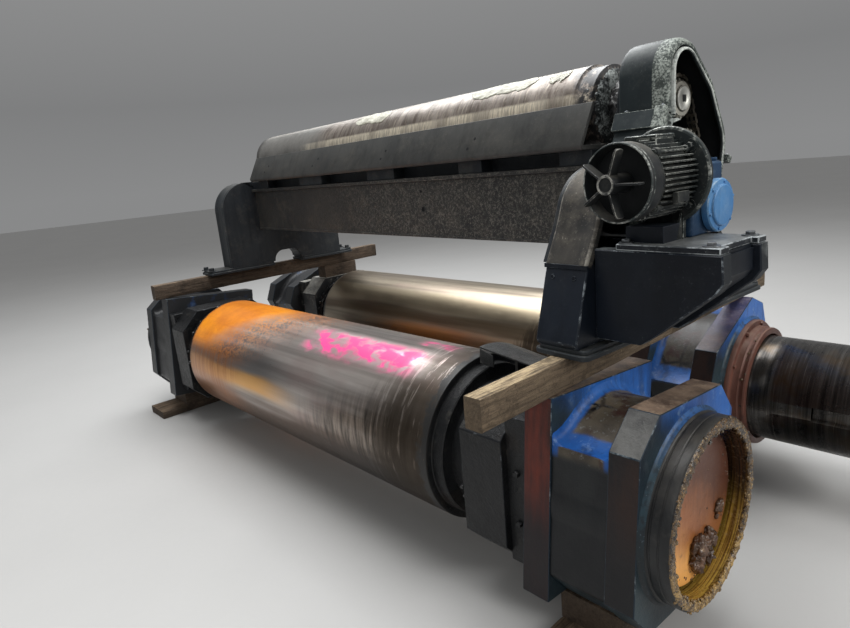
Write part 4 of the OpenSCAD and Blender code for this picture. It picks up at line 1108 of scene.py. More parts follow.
def grease_rim(m, x, r, w, seed, n=220, mat=0, amp=0.5):
    """lumpy band of grease squeezed out round a rim"""
    off = Vector((seed * 7.3, seed * 3.1, seed * 5.7))
    rows = []
    for i in range(n):
        a = 2 * pi * i / n
        c = Vector((0, math.sin(a), math.cos(a)))
        k = 1 + amp * 1.6 * noise.noise(c * 3.1 + off) + amp * 1.1 * noise.noise(c * 9.3 + off) + amp * 0.6 * noise.noise(c * 23 + off)
        k = max(0.42, k)
        rr = r + w * 0.55 * noise.noise(c * 5.1 + off * 2)
        row = []
        for j in range(14):
            b = 2 * pi * j / 14
            q = 1 + 0.45 * noise.noise(Vector((c.y * 16, c.z * 16, b * 1.3)) + off)
            row.append((x + w * 0.62 * k * q * math.cos(b), c.y * (rr + w * 0.72 * k * q * math.sin(b)), c.z * (rr + w * 0.72 * k * q * math.sin(b))))
        rows.append(row)
    m.loft(rows, join=True, mat=mat)


def front_ring(name, M, node, seed):
    m = MB()
    pf = [(288, 1865), (290, 1867), (290, 1881), (287.5, 1884), (284, 1886), (284, 1890), (287, 1893), (287, 1912), (285, 1914), (285, 1917), (287, 1919), (287, 1940), (285, 1944), (282, 1947), (276, 1949), (262, 1949), (257, 1946), (256, 1942), (256, 1868), (258, 1865)]
    m.lathe(pf, 160, ring=True, mat=[1 if (a[0] <= 257 and b[0] <= 257) else 0 for a, b in zip(pf, pf[1:] + pf[:1])])
    m.done(name, M, "stand", [RING, RECESS], [node], sharp=40)
    m = MB()
    # crust of grease over the face of the ring, as a fine lumpy field
    off = Vector((seed * 7.3, seed * 3.1, seed * 5.7))
    n, rows = 420, []
    for i in range(n):
        a = 2 * pi * i / n
        c = Vector((0, math.sin(a), math.cos(a)))
        wob = noise.noise(c * 2.3 + off) * 2.0 + noise.noise(c * 7.0 + off) * 2.2 + noise.noise(c * 19.0 + off) * 1.6
        r_in, r_out = 254.0 - wob * 0.9, 283.5 + wob * 0.8
        row = []
        for j in range(15):
            t = j / 14
            r = r_in + (r_out - r_in) * t
            p = c * (r * 0.055)
            h = 5.0 * abs(noise.noise(p * 0.8 + off)) + 5.6 * abs(noise.noise(p * 2.0 + off)) + 1.8 * noise.noise(p * 6.0 + off)
            k = math.sin(pi * t) ** 0.45 if 0 < t < 1 else 0.0
            x = 1946.0 + (3.0 + h) * k
            if t == 0:
                x = 1938 + 3 * noise.noise(c * 11 + off)
            row.append((min(x, 1957.0), c.y * r, c.z * r))
        # underside, sunk in the ring
        row.append((1940.0, c.y * (r_out - 2), c.z * (r_out - 2)))
        row.append((1934.0, c.y * (r_in + 4), c.z * (r_in + 4)))
        rows.append(row)
    m.loft(rows, join=True)
    for i in range(260):
        a = RNG.uniform(0, 2 * pi)
        r = RNG.choice((RNG.uniform(249, 259), RNG.uniform(260, 285)))
        m.blob((RNG.uniform(1942, 1949), r * math.sin(a), r * math.cos(a)), RNG.uniform(2.4, 8.0), seed * 50 + i, (0.7, 1, 1), sub=2, rough=0.5)
    m.done(name + "_grease", M, "stand", [GOLD_C], sharp=180, merge=False)


front_ring("cover_ring_fr", FRONT, "cover_ring_front_right", 1)
front_ring("cover_ring_fl", FRONT @ MIRX, "cover_ring_front_left", 2)


def rear_cover(name, M, node, seed):
    m = MB()
    m.lathe([(286, 1865), (288, 1868), (288, 1894), (284, 1899), (264, 1901), (262, 1904), (262, 1925), (256, 1931), (256, 1941), (260, 1946), (258, 1953), (250, 1955), (234, 1955), (232, 1952), (232, 1867), (234, 1865)], 160, ring=True)
    for i in range(10):
        a = 2 * pi * (i + 0.4) / 10
        m.bolt((1898, 273 * math.sin(a), 273 * math.cos(a)), (1, 0, 0), 17, washer=False, turn=a)
    m.done(name, M, "stand", [RUST], [node], sharp=40)
    m = MB()
    grease_rim(m, 1944, 246, 11, seed, amp=0.4)
    for i in range(120):
        a = RNG.uniform(0, 2 * pi)
        r = RNG.uniform(236, 259)
        m.blob((RNG.uniform(1934, 1951), r * math.sin(a), r * math.cos(a)), RNG.uniform(2.5, 7), seed * 50 + i, sub=1, rough=0.5)
    m.done(name + "_seal", M, "stand", [SEAL], sharp=180, merge=False)


rear_cover("cover_rr", REAR, "bearing_cover_rear_right", 5)
rear_cover("cover_rl", REAR @ MIRX, "bearing_cover_rear_left", 6)


def shield(name, M, node, seed, top=None):
    m = MB()
    m.prism([(-290, -206), (-206, -290), (240, -290), (290, -240), (290, 206), (206, 290), (-178, 290), (-290, 178)], 1209, 1394, "x")
    m.prism([(-262, -262), (262, -262), (262, 262), (-262, 262)], 1390, 1477, "x")
    m.done(name, M, "stand", [top or GREASY, GREASY_E], [node], bevel=(3.5, 2, 1))
    # lipped ring toward the barrel, and bolts
    m = MB()
    m.lathe([(262, 1193), (272, 1193), (278, 1196), (279, 1209), (281, 1211), (262, 1211)], 128, ring=True)
    for i in range(12):
        a = 2 * pi * (i + 0.5) / 12
        m.bolt((1208, 250 * 1.1 * math.sin(a), 250 * 1.1 * math.cos(a)), (-1, 0, 0), 15, washer=False, turn=a)
    for z in (-110, 70):
        m.bolt((1434, -262, z), (0, -1, 0), 20, washer=False)
    m.done(name + "_trim", M, "stand", [GREASY], sharp=35)
    m = MB()
    grease_rim(m, 1199, 262, 15, seed, 260, amp=0.6)
    for i in range(90):
        a = RNG.uniform(0, 2 * pi)
        r = RNG.uniform(252, 285)
        m.blob((RNG.uniform(1196, 1208), r * math.sin(a), r * math.cos(a)), RNG.uniform(4, 13), seed * 60 + i, (0.7, 1, 1), sub=2, rough=0.7)
    m.done(name + "_grease", M, "stand", [BLACKGOO], sharp=180, merge=False)


shield("shield_fr", FRONT, "neck_shield_right", 11)
shield("shield_fl", FRONT @ MIRX, "neck_shield_left", 12)
shield("shield_rr", REAR, "neck_shield_rear_right", 13)
PALE_TOP = painted("shield_pale_top", (0.020, 0.021, 0.023), (0.008, 0.009, 0.010), (0.42, 0.41, 0.37), wear=0.2, rough=0.40, grime=0.3, dustup=1.0, speck=0.3, cast=0.5)
shield("shield_rl", REAR @ MIRX, "neck_shield_rear_left", 14, PALE_TOP)

# flared sheet over the right end of the front barrel
m = MB()
rows = []
nt, nx = 56, 12
for i in range(nt + 1):
    ta = i / nt
    top, bot = [], []
    for j in range(nx + 1):
        t = j / nx
        x = 1078.5 + 241.0 * t
        r = 376 - 30 * t
        # the sheet is cut straight along its rear lower edge
        a1 = math.acos(min(1.0, 296.0 / r)) - 0.004
        a0 = -math.asin(19.0 / r)
        a = a0 + (a1 - a0) * ta
        dent = 2.4 * noise.noise(Vector((ta * 2.4, t * 2.0, 3))) * math.sin(pi * ta)
        r1 = min(r - 0.2, r - 0.6 + dent * 0.5 - 1.0)
        top.append((x, r1 * math.sin(a), r1 * math.cos(a)))
        bot.append((x, (r1 - 6.2) * math.sin(a), (r1 - 6.2) * math.cos(a)))
    rows.append(top + bot[::-1])
m.loft(rows, cap=True)
# angle bracket and a small fin at the front edge
m.box(1240, -10, 290, 1252, 70, 344)
m.box(1252, -10, 290, 1312, 70, 300)
m.prism([(1082, 312), (1150, 306), (1148, 350), (1086, 369)], -25.5, -20.5, "y")
m.bolt((1285, 10, 300), (0, 0, 1), 20)
m.bolt((1285, 50, 300), (0, 0, 1), 20)
m.done("stock_guide_sheet", FRONT, "stand", [SHEETG, GREASY_E], ["stock_guide_right"], bevel=(1.6, 2, 1), angle=40)


# ------------------------------------------------------------------ timbers
def timber(m, x0, y0, z0, x1, y1, z1, seed, n=60, wob=3.5, chamf=3.0):
    """sawn beam along Y, a little out of true, with rubbed corners"""
    off = Vector((seed * 2.3, seed * 7.1, seed))
    rows = []
    w, h = x1 - x0, z1 - z0
    for i in range(n + 1):
        y = y0 + (y1 - y0) * i / n
        row = []
        base = []
        c = chamf
        for a, b in ((c, 0), (w * .33, 0), (w * .66, 0), (w - c, 0), (w, c), (w, h * .33), (w, h * .66), (w, h - c), (w - c, h), (w * .66, h), (w * .33, h), (c, h), (0, h - c), (0, h * .66), (0, h * .33), (0, c)):
            base.append((a, b))
        for a, b in base:
            q = Vector((a * .01, y * .006, b * .01)) + off
            dx, dz = noise.noise(q) * wob * 0.5, noise.noise(q + Vector((9, 9, 9))) * wob * 0.5
            corner = (a < 1 or a > w - 1) and (b <= c + 1 or b >= h - c - 1)
            if corner:
                e = max(0.0, noise.noise(Vector((y * .03, a, b)) + off)) * 7
                dx += -e if a > w / 2 else e
            lim = 1.0
            X = min(max(x0 + a + dx, x0), x1)
            Z = min(max(z0 + b + dz, z0), z1)
            row.append((X, y, Z))
        rows.append(row)
    m.loft(rows)


m = MB()
timber(m, 1510, -1101, 358, 1572, 909, 453, 1)
m.done("timber_beam_right", ORG @ T(0, 0, AXH), "stand", [WOODN], ["timber_right"], sharp=50)
m = MB()
timber(m, -1572, -860, 358, -1510, 990, 453, 2)
m.done("timber_beam_left", ORG @ T(0, 0, AXH), "stand", [WOODO], ["timber_left"], sharp=50)
for s, nm in ((1, "right"), (-1, "left")):
    m = MB()
    for j, (cx, cy) in enumerate(((s * 1671, -547), (s * 1671 + SHIFT, 599))):
        timber(m, cx - 110, cy - 400, 0, cx - 2, cy + 400, 50, 5 + j + s, wob=2)
        timber(m, cx + 2, cy - 400, 0, cx + 110, cy + 400, 50, 8 + j + s, wob=2)
    m.done("floor_bearers_" + nm, ORG, "stand", [WOODO], ["floor_bearer_" + nm], sharp=50)

# ------------------------------------------------------------------ end frames
FY, GR, GZ, UZ = 440.0, 188.0, 870.0, 453.0


def arch(e, n=14, z0=UZ + 30):
    """stadium arch, from the rear foot over the top to the front foot"""
    r = 70 + e
    p = [(105 + e, z0)]
    p += [(35 + r * math.cos(a), 485 + r * math.sin(a)) for a in [pi / 2 * i / n for i in range(n + 1)]]
    p += [(-40 + r * math.cos(a), 485 + r * math.sin(a)) for a in [pi / 2 + pi / 2 * i / n for i in range(n + 1)]]
    p += [(-110 - e, z0)]
    return p


def rim_path(n=20):
    """front gooseneck from the foot up and over, with outward normals"""
    out = []
    for i in range(9):
        z = UZ + 30 + (GZ - UZ - 30) * i / 9
        out.append((-FY, z, -1.0, 0.0))
    for i in range(n + 1):
        a = pi / 2 * i / n
        out.append((-(FY - GR) - GR * math.cos(a), GZ + GR * math.sin(a), -math.cos(a), math.sin(a)))
    out.append((-270.0, GZ + GR, 0.0, 1.0))
    return out


def smooth_path(pts, step=12.0):
    """even steps along a run of corners that are eased by a moving average; gives (y, z, ny, nz)"""
    P = [Vector(p) for p in pts]
    fine = []
    for a, b in zip(P, P[1:]):
        n = max(1, int((b - a).length / 4))
        fine += [a + (b - a) * (i / n) for i in range(n)]
    fine.append(P[-1])
    w = 6
    sm = []
    for i in range(len(fine)):
        k = min(w, i, len(fine) - 1 - i)
        sm.append(sum((fine[j] for j in range(i - k, i + k + 1)), Vector((0, 0))) / (2 * k + 1))
    out, last = [], None
    for i, p in enumerate(sm):
        if last is not None and (p - last).length < step and i < len(sm) - 1:
            continue
        a, b = sm[max(0, i - 2)], sm[min(len(sm) - 1, i + 2)]
        d = (b - a).normalized()
        out.append((p.x, p.y, -d.y, d.x))
        last = p
    return out


def right_front():
    up = [(-FY, UZ + 30 + i * 30.0, -1.0, 0.0) for i in range(9)]
    return up, smooth_path([(-537, 728), (-484, 829), (-447, 926), (-404, 972), (-360, 996), (-310, 1009), (-270, 1012)])


def right_rear():
    """low rear foot and the steep edge above it, up to the chain guard"""
    return [(y, z, -ny, -nz) for y, z, ny, nz in smooth_path([(FY, UZ + 30), (FY, 636), (404, 668), (350, 684), (290, 704), (252, 750), (237, 812), (237, 900)])]


def end_frame(nm, x0, x1, w0, w1):
    side = 1 if nm == "right" else -1
    paint = [NECKF, NECKF_E] if nm == "right" else [FRAME, FRAME_E]
    m = MB()
    if nm == "right":
        up, over = right_front()
        rear = right_rear()
        web = [(-FY + 3, UZ + 30), (-FY + 3, 727), (-532, 729)] + [(p[0] + 3, p[1] - 2) for p in over[1:]]
        web += [(-130, 1011)] + [(130 * math.cos(a), 1190 + 130 * math.sin(a)) for a in [pi - pi * i / 32 for i in range(33)]] + [(130, 1011)]
        web += [(200, 1011), (225, 1000), (235, 976)] + [(p[0] - 3, p[1] - 1.5) for p in rear[::-1]] + arch(0)
    else:
        web = [(-FY + 3, UZ + 30)] + [(p[0] * 0.994, p[1]) for p in rim_path()]
        web += [(-130, GZ + GR)] + [(130 * math.cos(a), 1190 + 130 * math.sin(a)) for a in [pi - pi * i / 32 for i in range(33)]] + [(130, GZ + GR)]
        web += [(200, GZ + GR - 1), (225, GZ + GR - 13), (235, GZ + GR - 38)] + [(p[0] - 3, p[1] - 1.5) for p in right_rear()[::-1]] + arch(0)
    m.prism(web, w0, w1, "x")
    m.done("frame_web_" + nm, UNIT, "stand", [FRAME, FRAME_E], ["end_frame_" + nm], bevel=(3, 2, 1))
    # rims: a strip with a shallow groove, rounded and worn along both edges
    w = x1 - x0
    sec = [(0, -26), (0, -8), (3, -2.5), (9, 0), (20, 0), (30, -3), (48, -7), (w - 48, -7), (w - 30, -3), (w - 20, 0), (w - 9, 0), (w - 3, -2.5), (w, -8), (w, -26)]
    m = MB()
    if nm == "right":
        runs = [right_front()[0], right_front()[1], right_rear()]
    else:
        runs = [rim_path(), right_rear()]
    for run in runs:
        m.loft([[(x0 + a, y + ny * d, z + nz * d) for a, d in sec] for y, z, ny, nz in run])
    for f in m.bm.faces:
        xs = [v.co.x for v in f.verts]
        lo, hi = min(xs) - x0, max(xs) - x0
        thin = hi - lo
        if thin > 0.5 and thin < 7 and (hi < 10 or lo > w - 10):
            f.material_index = 1
    m.done("frame_rim_" + nm, UNIT, "stand", paint, sharp=50)
    m = MB()
    ao, ai = arch(15), arch(0)
    rows = []
    for (a, b), (c, d) in zip(ao, ai):
        rows.append([(x0 + 2, c, d), (x0, (a + c) / 2, (b + d) / 2), (x0 + 3, a, b), (x1 - 3, a, b), (x1, (a + c) / 2, (b + d) / 2), (x1 - 2, c, d)])
    m.loft(rows)
    m.done("frame_arch_" + nm, UNIT, "stand", [FRAME, FRAME_E], bevel=(2, 2, 1))
    # stepped foot pads with rounded corners, and their bolts
    fx0, fx1 = (1488, 1690) if nm == "right" else (-1600, -1410)
    m = MB()
    for y0, y1 in ((-598, -110), (105, 550)):
        def pad(a0, b0, a1, b1, r, z0, z1):
            pts = []
            for cx, cy, s0 in ((a1 - r, b1 - r, 0), (a0 + r, b1 - r, 1), (a0 + r, b0 + r, 2), (a1 - r, b0 + r, 3)):
                pts += [(cx + r * math.cos(pi / 2 * (s0 + i / 5)), cy + r * math.sin(pi / 2 * (s0 + i / 5))) for i in range(6)]
            m.prism(pts, z0, z1, "z")
        pad(fx0, y0, fx1, y1, 26, UZ, UZ + 17)
        pad(fx0 + 9, y0 + 10, fx1 - 9, y1 - 6, 20, UZ + 16, UZ + 30)
    m.done("frame_feet_" + nm, UNIT, "stand", [FRAME, FRAME_E], ["frame_foot_" + nm], bevel=(4, 2, 1))
    m = MB()
    bx = (x1 + 14, x0 + 24) if nm == "right" else (x0 - 8, x1 - 24)
    for yy in (-575, 520):
        for xx in ((fx0 + 40, fx1 - 40)):
            if nm == "right" and yy < 0:
                continue
            m.bolt((xx, yy, UZ + 30), (0, 0, 1), 30, turn=RNG.random())
    for yy, zz in ((-330, 640), (-330, 860), (330, 600)):
        m.bolt(((w1 if side > 0 else w0), yy, zz), (side, 0, 0), 22, turn=RNG.random())
    for i in range(6):
        a = pi / 3 * i + 0.3
        m.bolt(((w0 if side > 0 else w1), 116 * math.sin(a), 1190 + 116 * math.cos(a)), (-side, 0, 0), 17, turn=a)
    m.done("frame_bolts_" + nm, UNIT, "stand", [FRAME], sharp=35)


end_frame("right", 1500, 1655, 1488, 1518)
end_frame("left", -1580, -1430, -1448, -1418)

# sloping cover in front of the right leg
m = MB()
m.prism([(-441, UZ + 30), (-590, UZ + 30), (-596, UZ + 44), (-533, 716), (-523, 726), (-441, 726)], 1500, 1655, "x")
m.done("leg_cover_body", UNIT, "stand", [NAVY, NAVY_E], ["leg_cover_right"], bevel=(5, 3, 1))
m = MB()
sl = Vector((0, -282, -63)).normalized()
nrm = Vector((0, -0.976, 0.217))
for xx in (1532, 1612):
    for zz in (688,):
        yy = -533 - (716 - zz) * (63 / 672.0)
        m.bolt((xx, yy + 1, zz), (0, -0.995, 0.094), 14, washer=False, turn=RNG.random())
m.box(1496, -536, 714, 1655, -441, 727)
m.done("leg_cover_bolts", UNIT, "stand", [NAVY, NAVY_E], bevel=(2, 2, 1))

# ------------------------------------------------------------------ beam, rail, shelf
m = MB()
m.box(-1418, -190, 726, 1488, -165, 988)
m.done("cross_beam_plate", UNIT, "stand", [BEAM, BEAM_E], ["cross_beam"], bevel=(3, 3, 1))
m = MB()
m.box(-1416, -194, 727, 1486, -189, 738)
m.done("cross_beam_lip", UNIT, "stand", [BEAM, BEAM_E], bevel=(2, 2, 1))
m = MB()
m.lathe([(11.5, 0), (11.5, 2.0), (13.5, 2.6), (15.5, 2.0), (16.0, 0)], 32, ring=True, M=Matrix.Translation((478, -189.8, 858)) @ Matrix.Rotation(-pi / 2, 4, "Z"))
m.done("cross_beam_bosses", UNIT, "stand", [BEAM_E])
# black discs stand in for the shade inside the beam's holes
m = MB()
for xx, zz, rr_ in ((478, 858, 11.4), (470, 940, 7)):
    m.rod((xx, -189.6, zz), (0, -1, 0), rr_, 0.8, 24, 0)
m.done("cross_beam_holes", UNIT, "stand", [SHADE_BLACK])
m = MB()
m.box(-1418, -214, 988, 1488, -100, 1006)
m.done("beam_rail_bar", UNIT, "stand", [BEAM, BEAM_E], ["beam_rail"], bevel=(3, 2, 1))
m = MB()
for x0, l in ((-1400, 245), (-698, 271), (52, 237), (760, 140), (1300, 140)):
    m.box(x0, -206, 1006, x0 + l, -130, 1056)
m.box(-1418, -142, 1006, 1488, -130, 1056)
m.done("shelf_blocks", UNIT, "stand", [FRAME, FRAME_E], ["shelf_posts"], bevel=(3, 2, 1))
m = MB()
m.prism([(-264, 1074), (-259, 1062), (-252, 1056), (-130, 1056), (-130, 1072), (-250, 1072), (-182, 1204), (-194, 1210)], -1300, 1440, "x")
m.done("shelf_sheet", UNIT, "stand", [SHELF, BEAM_E], ["shelf_plate"], bevel=(1.8, 2, 1), angle=50)
# black discs stand in for the shade inside the shelf's holes
m = MB()
su = Vector((0, 70, 136)).normalized()
sn = Vector((0, -136, 70)).normalized()
for xx, zz in ((-395, 1149), (-440, 1113), (276, 1141), (253, 1106), (900, 1140), (872, 1104), (-1050, 1146), (-1090, 1110)):
    p = Vector((xx, -264, 1074)) + su * ((zz - 1074) / su.z) - sn * 0.5
    m.rod(p, sn, 6.5, 1.0, 20, 0)
m.done("shelf_holes", UNIT, "stand", [SHADE_BLACK])
m = MB()
m.box(-1418, 200, 760, 1488, 225, 980)
m.done("rear_tie_plate", UNIT, "stand", [BEAM, BEAM_E], ["rear_tie_beam"], bevel=(4, 3, 1))
m = MB()
for xx in (-1370, 1440):
    for zz in (800, 870, 940):
        m.bolt((xx, 225, zz), (0, 1, 0), 28, turn=RNG.random())
m.done("tie_bolts", UNIT, "stand", [BOLTM], sharp=35)

# ------------------------------------------------------------------ blender roll
BR = 160.0
m = MB()
m.lathe([(0, -1560), (42, -1560), (44, -1558), (44, -1412), (70, -1408), (70, -1396), (146, -1391), (156, -1386), (160, -1376)] + [(160, x) for x in range(-1200, 1331, 230)] + [(160, 1330), (152, 1336), (150, 1340), (150, 1398), (144, 1402), (70, 1404), (70, 1440), (44, 1444), (44, 1644), (42, 1646), (0, 1646)], 160)
m.done("blender_roll_body", BAX, "blender_roll", [BLEND], ["blender_roll"], sharp=40)


def crust(m, x0, x1, r0, amp, seed, nx=26, na=120, mat=0):
    """ragged crust of dried rubber round the end of the roll"""
    off = Vector((seed, seed * 3, seed * 5))
    rows = []
    for i in range(nx + 1):
        t = i / nx
        x = x0 + (x1 - x0) * t
        prof = math.sin(pi * min(1, t * 1.02)) ** 0.35 if 0 < t < 1 else 0.0
        row = []
        for j in range(na):
            a = 2 * pi * j / na
            q = Vector((x * 0.03, math.sin(a) * 4.2, math.cos(a) * 4.2)) + off
            k = noise.noise(q) * 0.4 + abs(noise.noise(q * 2.7)) * 0.6 + noise.noise(q * 6.1) * 0.4 - 0.15
            r = r0 - 34 * (1 - prof) + amp * k * prof
            xx = x + 16 * noise.noise(q * 1.7 + Vector((5, 5, 5))) * prof
            row.append((xx, r * math.sin(a), r * math.cos(a)))
        rows.append(row)
    m.loft(rows, mat=mat)


m = MB()
crust(m, 1326, 1414, 143, 17, 3, 40, 300)
m.done("roll_crust_right", BAX, "blender_roll", [FOIL], sharp=180)
m = MB()
crust(m, 1422, 1482, 98, 16, 5, 16, 110)
m.done("roll_crust_shaft", BAX, "blender_roll", [BLACKGOO], sharp=180)
m = MB()
crust(m, -1398, -1366, 150, 8, 8, 10, 110)
m.done("roll_crust_left", BAX, "blender_roll", [BLACKGOO], sharp=180)


def patch(m, x0, x1, a0, a1, seed, nx=90, na=34, lift=6.0):
    """thin torn sheet that sticks to the roll"""
    off = Vector((seed * 4.1, seed, seed * 2.2))
    top, bot = [], []
    for i in range(nx + 1):
        u = i / nx
        rt, rb = [], []
        e0 = 0.10 * noise.noise(Vector((u * 5, 1, 0)) + off) + 0.05 * noise.noise(Vector((u * 19, 1, 0)) + off)
        e1 = 0.12 * noise.noise(Vector((u * 4, 7, 0)) + off) + 0.05 * noise.noise(Vector((u * 17, 7, 0)) + off)
        ends = min(1.0, min(u, 1 - u) * 7 + 0.25)
        am = (a0 + a1) / 2
        for j in range(na + 1):
            v = j / na
            a = am + ((a0 + e0 - am) * (1 - v) + (a1 + e1 - am) * v) * ends
            x = x0 + (x1 - x0) * u + 26 * noise.noise(Vector((v * 3, u * 2, 3)) + off) * (1 if u in (0, 1) else 0.6)
            q = Vector((u * 11, v * 4, 0)) + off
            k = 0.5 + 0.5 * noise.noise(q) + 0.45 * abs(noise.noise(q * 2.3)) + 0.2 * noise.noise(q * 5.5)
            edge = min(1.0, min(u, 1 - u, v, 1 - v) * 14)
            r = BR + 0.8 + max(0.2, k) * lift * (0.35 + 0.65 * edge)
            rt.append((x, r * math.sin(a), r * math.cos(a)))
            rb.append((x, (BR - 1) * math.sin(a), (BR - 1) * math.cos(a)))
        top.append(rt)
        bot.append(rb)
    rows = [t + b[::-1] for t, b in zip(top, bot)]
    m.loft(rows, mat=0)


m = MB()
patch(m, -150, 150, math.radians(-50), math.radians(-20), 1, lift=3.5)
patch(m, 745, 1120, math.radians(-44), math.radians(-14), 2, lift=3.5)
patch(m, 1180, 1270, math.radians(-44), math.radians(-20), 3, 40, 24, 3)
m.done("rubber_scraps", BAX, "blender_roll", [RUBBER], sharp=180)

# bearings of the blender roll
for nm, x0, sd in (("right", 1518, 1), ("left", -1510, -1)):
    m = MB()
    m.lathe([(44.1, x0), (90, x0), (92, x0 + 2), (92, x0 + 13), (102, x0 + 15.5), (104, x0 + 18), (104, x0 + 44), (102, x0 + 46.5), (92, x0 + 49), (92, x0 + 58), (88, x0 + 62), (60, x0 + 62), (56, x0 + 58), (46, x0 + 58), (44.1, x0 + 56)], 96, ring=True)
    for i in range(6):
        a = pi / 3 * i
        m.bolt(((x0 + 62) if sd > 0 else x0, 74 * math.sin(a), 74 * math.cos(a)), (sd, 0, 0), 13, h=6, washer=False, turn=a)
    m.done("bearing_" + nm, BAX, "stand", [FRAME], ["roll_bearing_" + nm], sharp=35)

# ------------------------------------------------------------------ chain guard
UP = hull2(circ((-62, 1260), 110) + circ((10, 1150), 145) + circ((62, 1030), 160) + [(-172, 1000), (-112, 1000), (-112, 1260), (-172, 1260)])
LO = hull2(circ((62, 1030), 160) + circ(LP, 94) + circ((100, 868), 90) + [(-172, 1080), (-112, 1080), (-112, 1150), (-172, 1150)])
GN = 300
UPR, LOR = resample(UP, GN), resample(LO, GN)
SLOPE = 684.0 / 1600.0


def split_z(y):
    return 1421 - (y + 800) * SLOPE


def guard(m, out, keep_up, mats):
    pts, nor = out
    # (inward offset, place along X, material)
    # barrel, rounded pale lip, dark groove, thin inner rim, then back along the inside of the wall; the groove and the
    # inside of the wall are painted black as shade
    prof = [(12, 1520, 0), (5, 1523, 0), (1.5, 1529, 0), (0.5, 1540, 0), (0.5, 1636, 0), (2.0, 1641, 1), (2.0, 1652, 1), (3.0, 1664, 1), (5.0, 1674, 1), (8.5, 1682, 1), (13.0, 1688, 1), (18.5, 1691.5, 1), (24, 1692, 1),
            (27, 1690.5, 0), (28.5, 1686, 2), (31.0, 1684, 2), (33.5, 1687, 3), (35, 1694, 3), (37, 1697, 3), (41, 1697.5, 3), (43, 1695, 0), (43.5, 1688, 2), (38, 1682, 2), (24, 1672, 2), (14, 1656, 2), (12, 1640, 2), (12, 1534, 2), (16, 1529, 2)]
    rows = []
    for d, x, _ in prof:
        rows.append([(x, p.x - n.x * d, p.y - n.y * d) for p, n in zip(pts, nor)])
    m.loft(rows, mat=[q[2] for q in prof], cap=False)
    # back plate at two depths: on the hood a ring of faces round its shaft hole, on the casing a plain face
    for xb, first in ((1520, 0), (1529, -1)):
        o = rows[first]
        hole = []
        c = Vector((0, 1190))
        for (x, y, z) in o:
            v = (Vector((y, z)) - c).normalized() if keep_up else None
            hole.append((xb, c.x + v.x * 111, c.y + v.y * 111) if keep_up else (xb, -20.0, 960.0))
        if keep_up:
            m.loft([[(xb, q[1], q[2]) for q in o], hole], mat=0, cap=False)
        else:
            vs = [m.bm.verts.new((xb, q[1], q[2])) for q in o]
            m.face(vs if first else vs[::-1], 0)
    bmesh.ops.remove_doubles(m.bm, verts=m.bm.verts, dist=0.05)
    co, no = Vector((0, -800, 1421 + (0.6 if keep_up else -0.6))), Vector((0, SLOPE, 1)).normalized()
    g = m.bm.verts[:] + m.bm.edges[:] + m.bm.faces[:]
    r = bmesh.ops.bisect_plane(m.bm, geom=g, dist=0.01, plane_co=co, plane_no=no, clear_inner=keep_up, clear_outer=not keep_up)
    cut = [e for e in r["geom_cut"] if isinstance(e, bmesh.types.BMEdge)]
    bmesh.ops.triangle_fill(m.bm, edges=cut, use_beauty=True)


m = MB()
guard(m, UPR, True, None)
m.done("guard_hood", UNIT, "stand", [GUARD, GUARD_E, SHADE_BLACK, GUARD_T], ["guard_upper"], sharp=50)
m = MB()
guard(m, LOR, False, None)
m.rod((1529, TP[0], TP[1]), (1, 0, 0), 34, 60, 40, 2)
m.rod((1529, TP[0], TP[1]), (1, 0, 0), 19.9, 115, 32, 2)
m.done("guard_casing", UNIT, "stand", [GUARD, GUARD_E, SHADE_BLACK, GUARD_T], ["guard_lower"], sharp=50)

# flanges where the halves are bolted together
m = MB()


def wedge(y, x0, x1, sgn, t0, t1, out, mat=0, back=4):
    """block along the split line; out is how far it stands off the wall"""
    z = split_z(y)
    d = Vector((1, -SLOPE)).normalized() * sgn
    n = Vector((SLOPE, 1)).normalized()
    p = Vector((y, z))
    q = [p - d * back + n * t0, p + d * out + n * t0, p + d * out + n * t1, p - d * back + n * t1]
    if sgn < 0:
        q = q[::-1]
    m.prism([(v.x, v.y) for v in q], x0, x1, "x", mat)


yl, yr = -171.0, 218.0
# plain band below the line in front, with a thin pale top edge, and a narrow flange behind
wedge(yl, 1521, 1697, -1, -60, -0.8, 22)
wedge(yr, 1522, 1697, 1, 0.8, 12, 20)
wedge(yr, 1522, 1697, 1, -13, -0.8, 22)
m.done("guard_split_flanges", UNIT, "stand", [GUARD, GUARD_E], bevel=(2.0, 2, 1))
m = MB()
# pale corner bosses by the open side
wedge(yl, 1664, 1699.5, -1, -64, 6, 27, 0)
wedge(yr, 1676, 1699.5, 1, -11, 11, 20, 0)
m.done("guard_corner_bosses", UNIT, "stand", [GUARD_E, GUARD_E], bevel=(4, 3, None))
m = MB()
nn = Vector((0, SLOPE, 1)).normalized()
dd = Vector((0, 1, -SLOPE)).normalized()
for xx in (1560, 1684):
    for y, s in ((yl, -1), (yr, 1)):
        p = Vector((xx, y, split_z(y))) + dd * (s * 13)
        m.bolt(p + nn * ((5.5 if s < 0 else 10.5) if xx > 1660 else 0.0 if s < 0 else 12), nn, 10, turn=RNG.random())
m.done("guard_split_bolts", UNIT, "stand", [BOLTM], sharp=35)


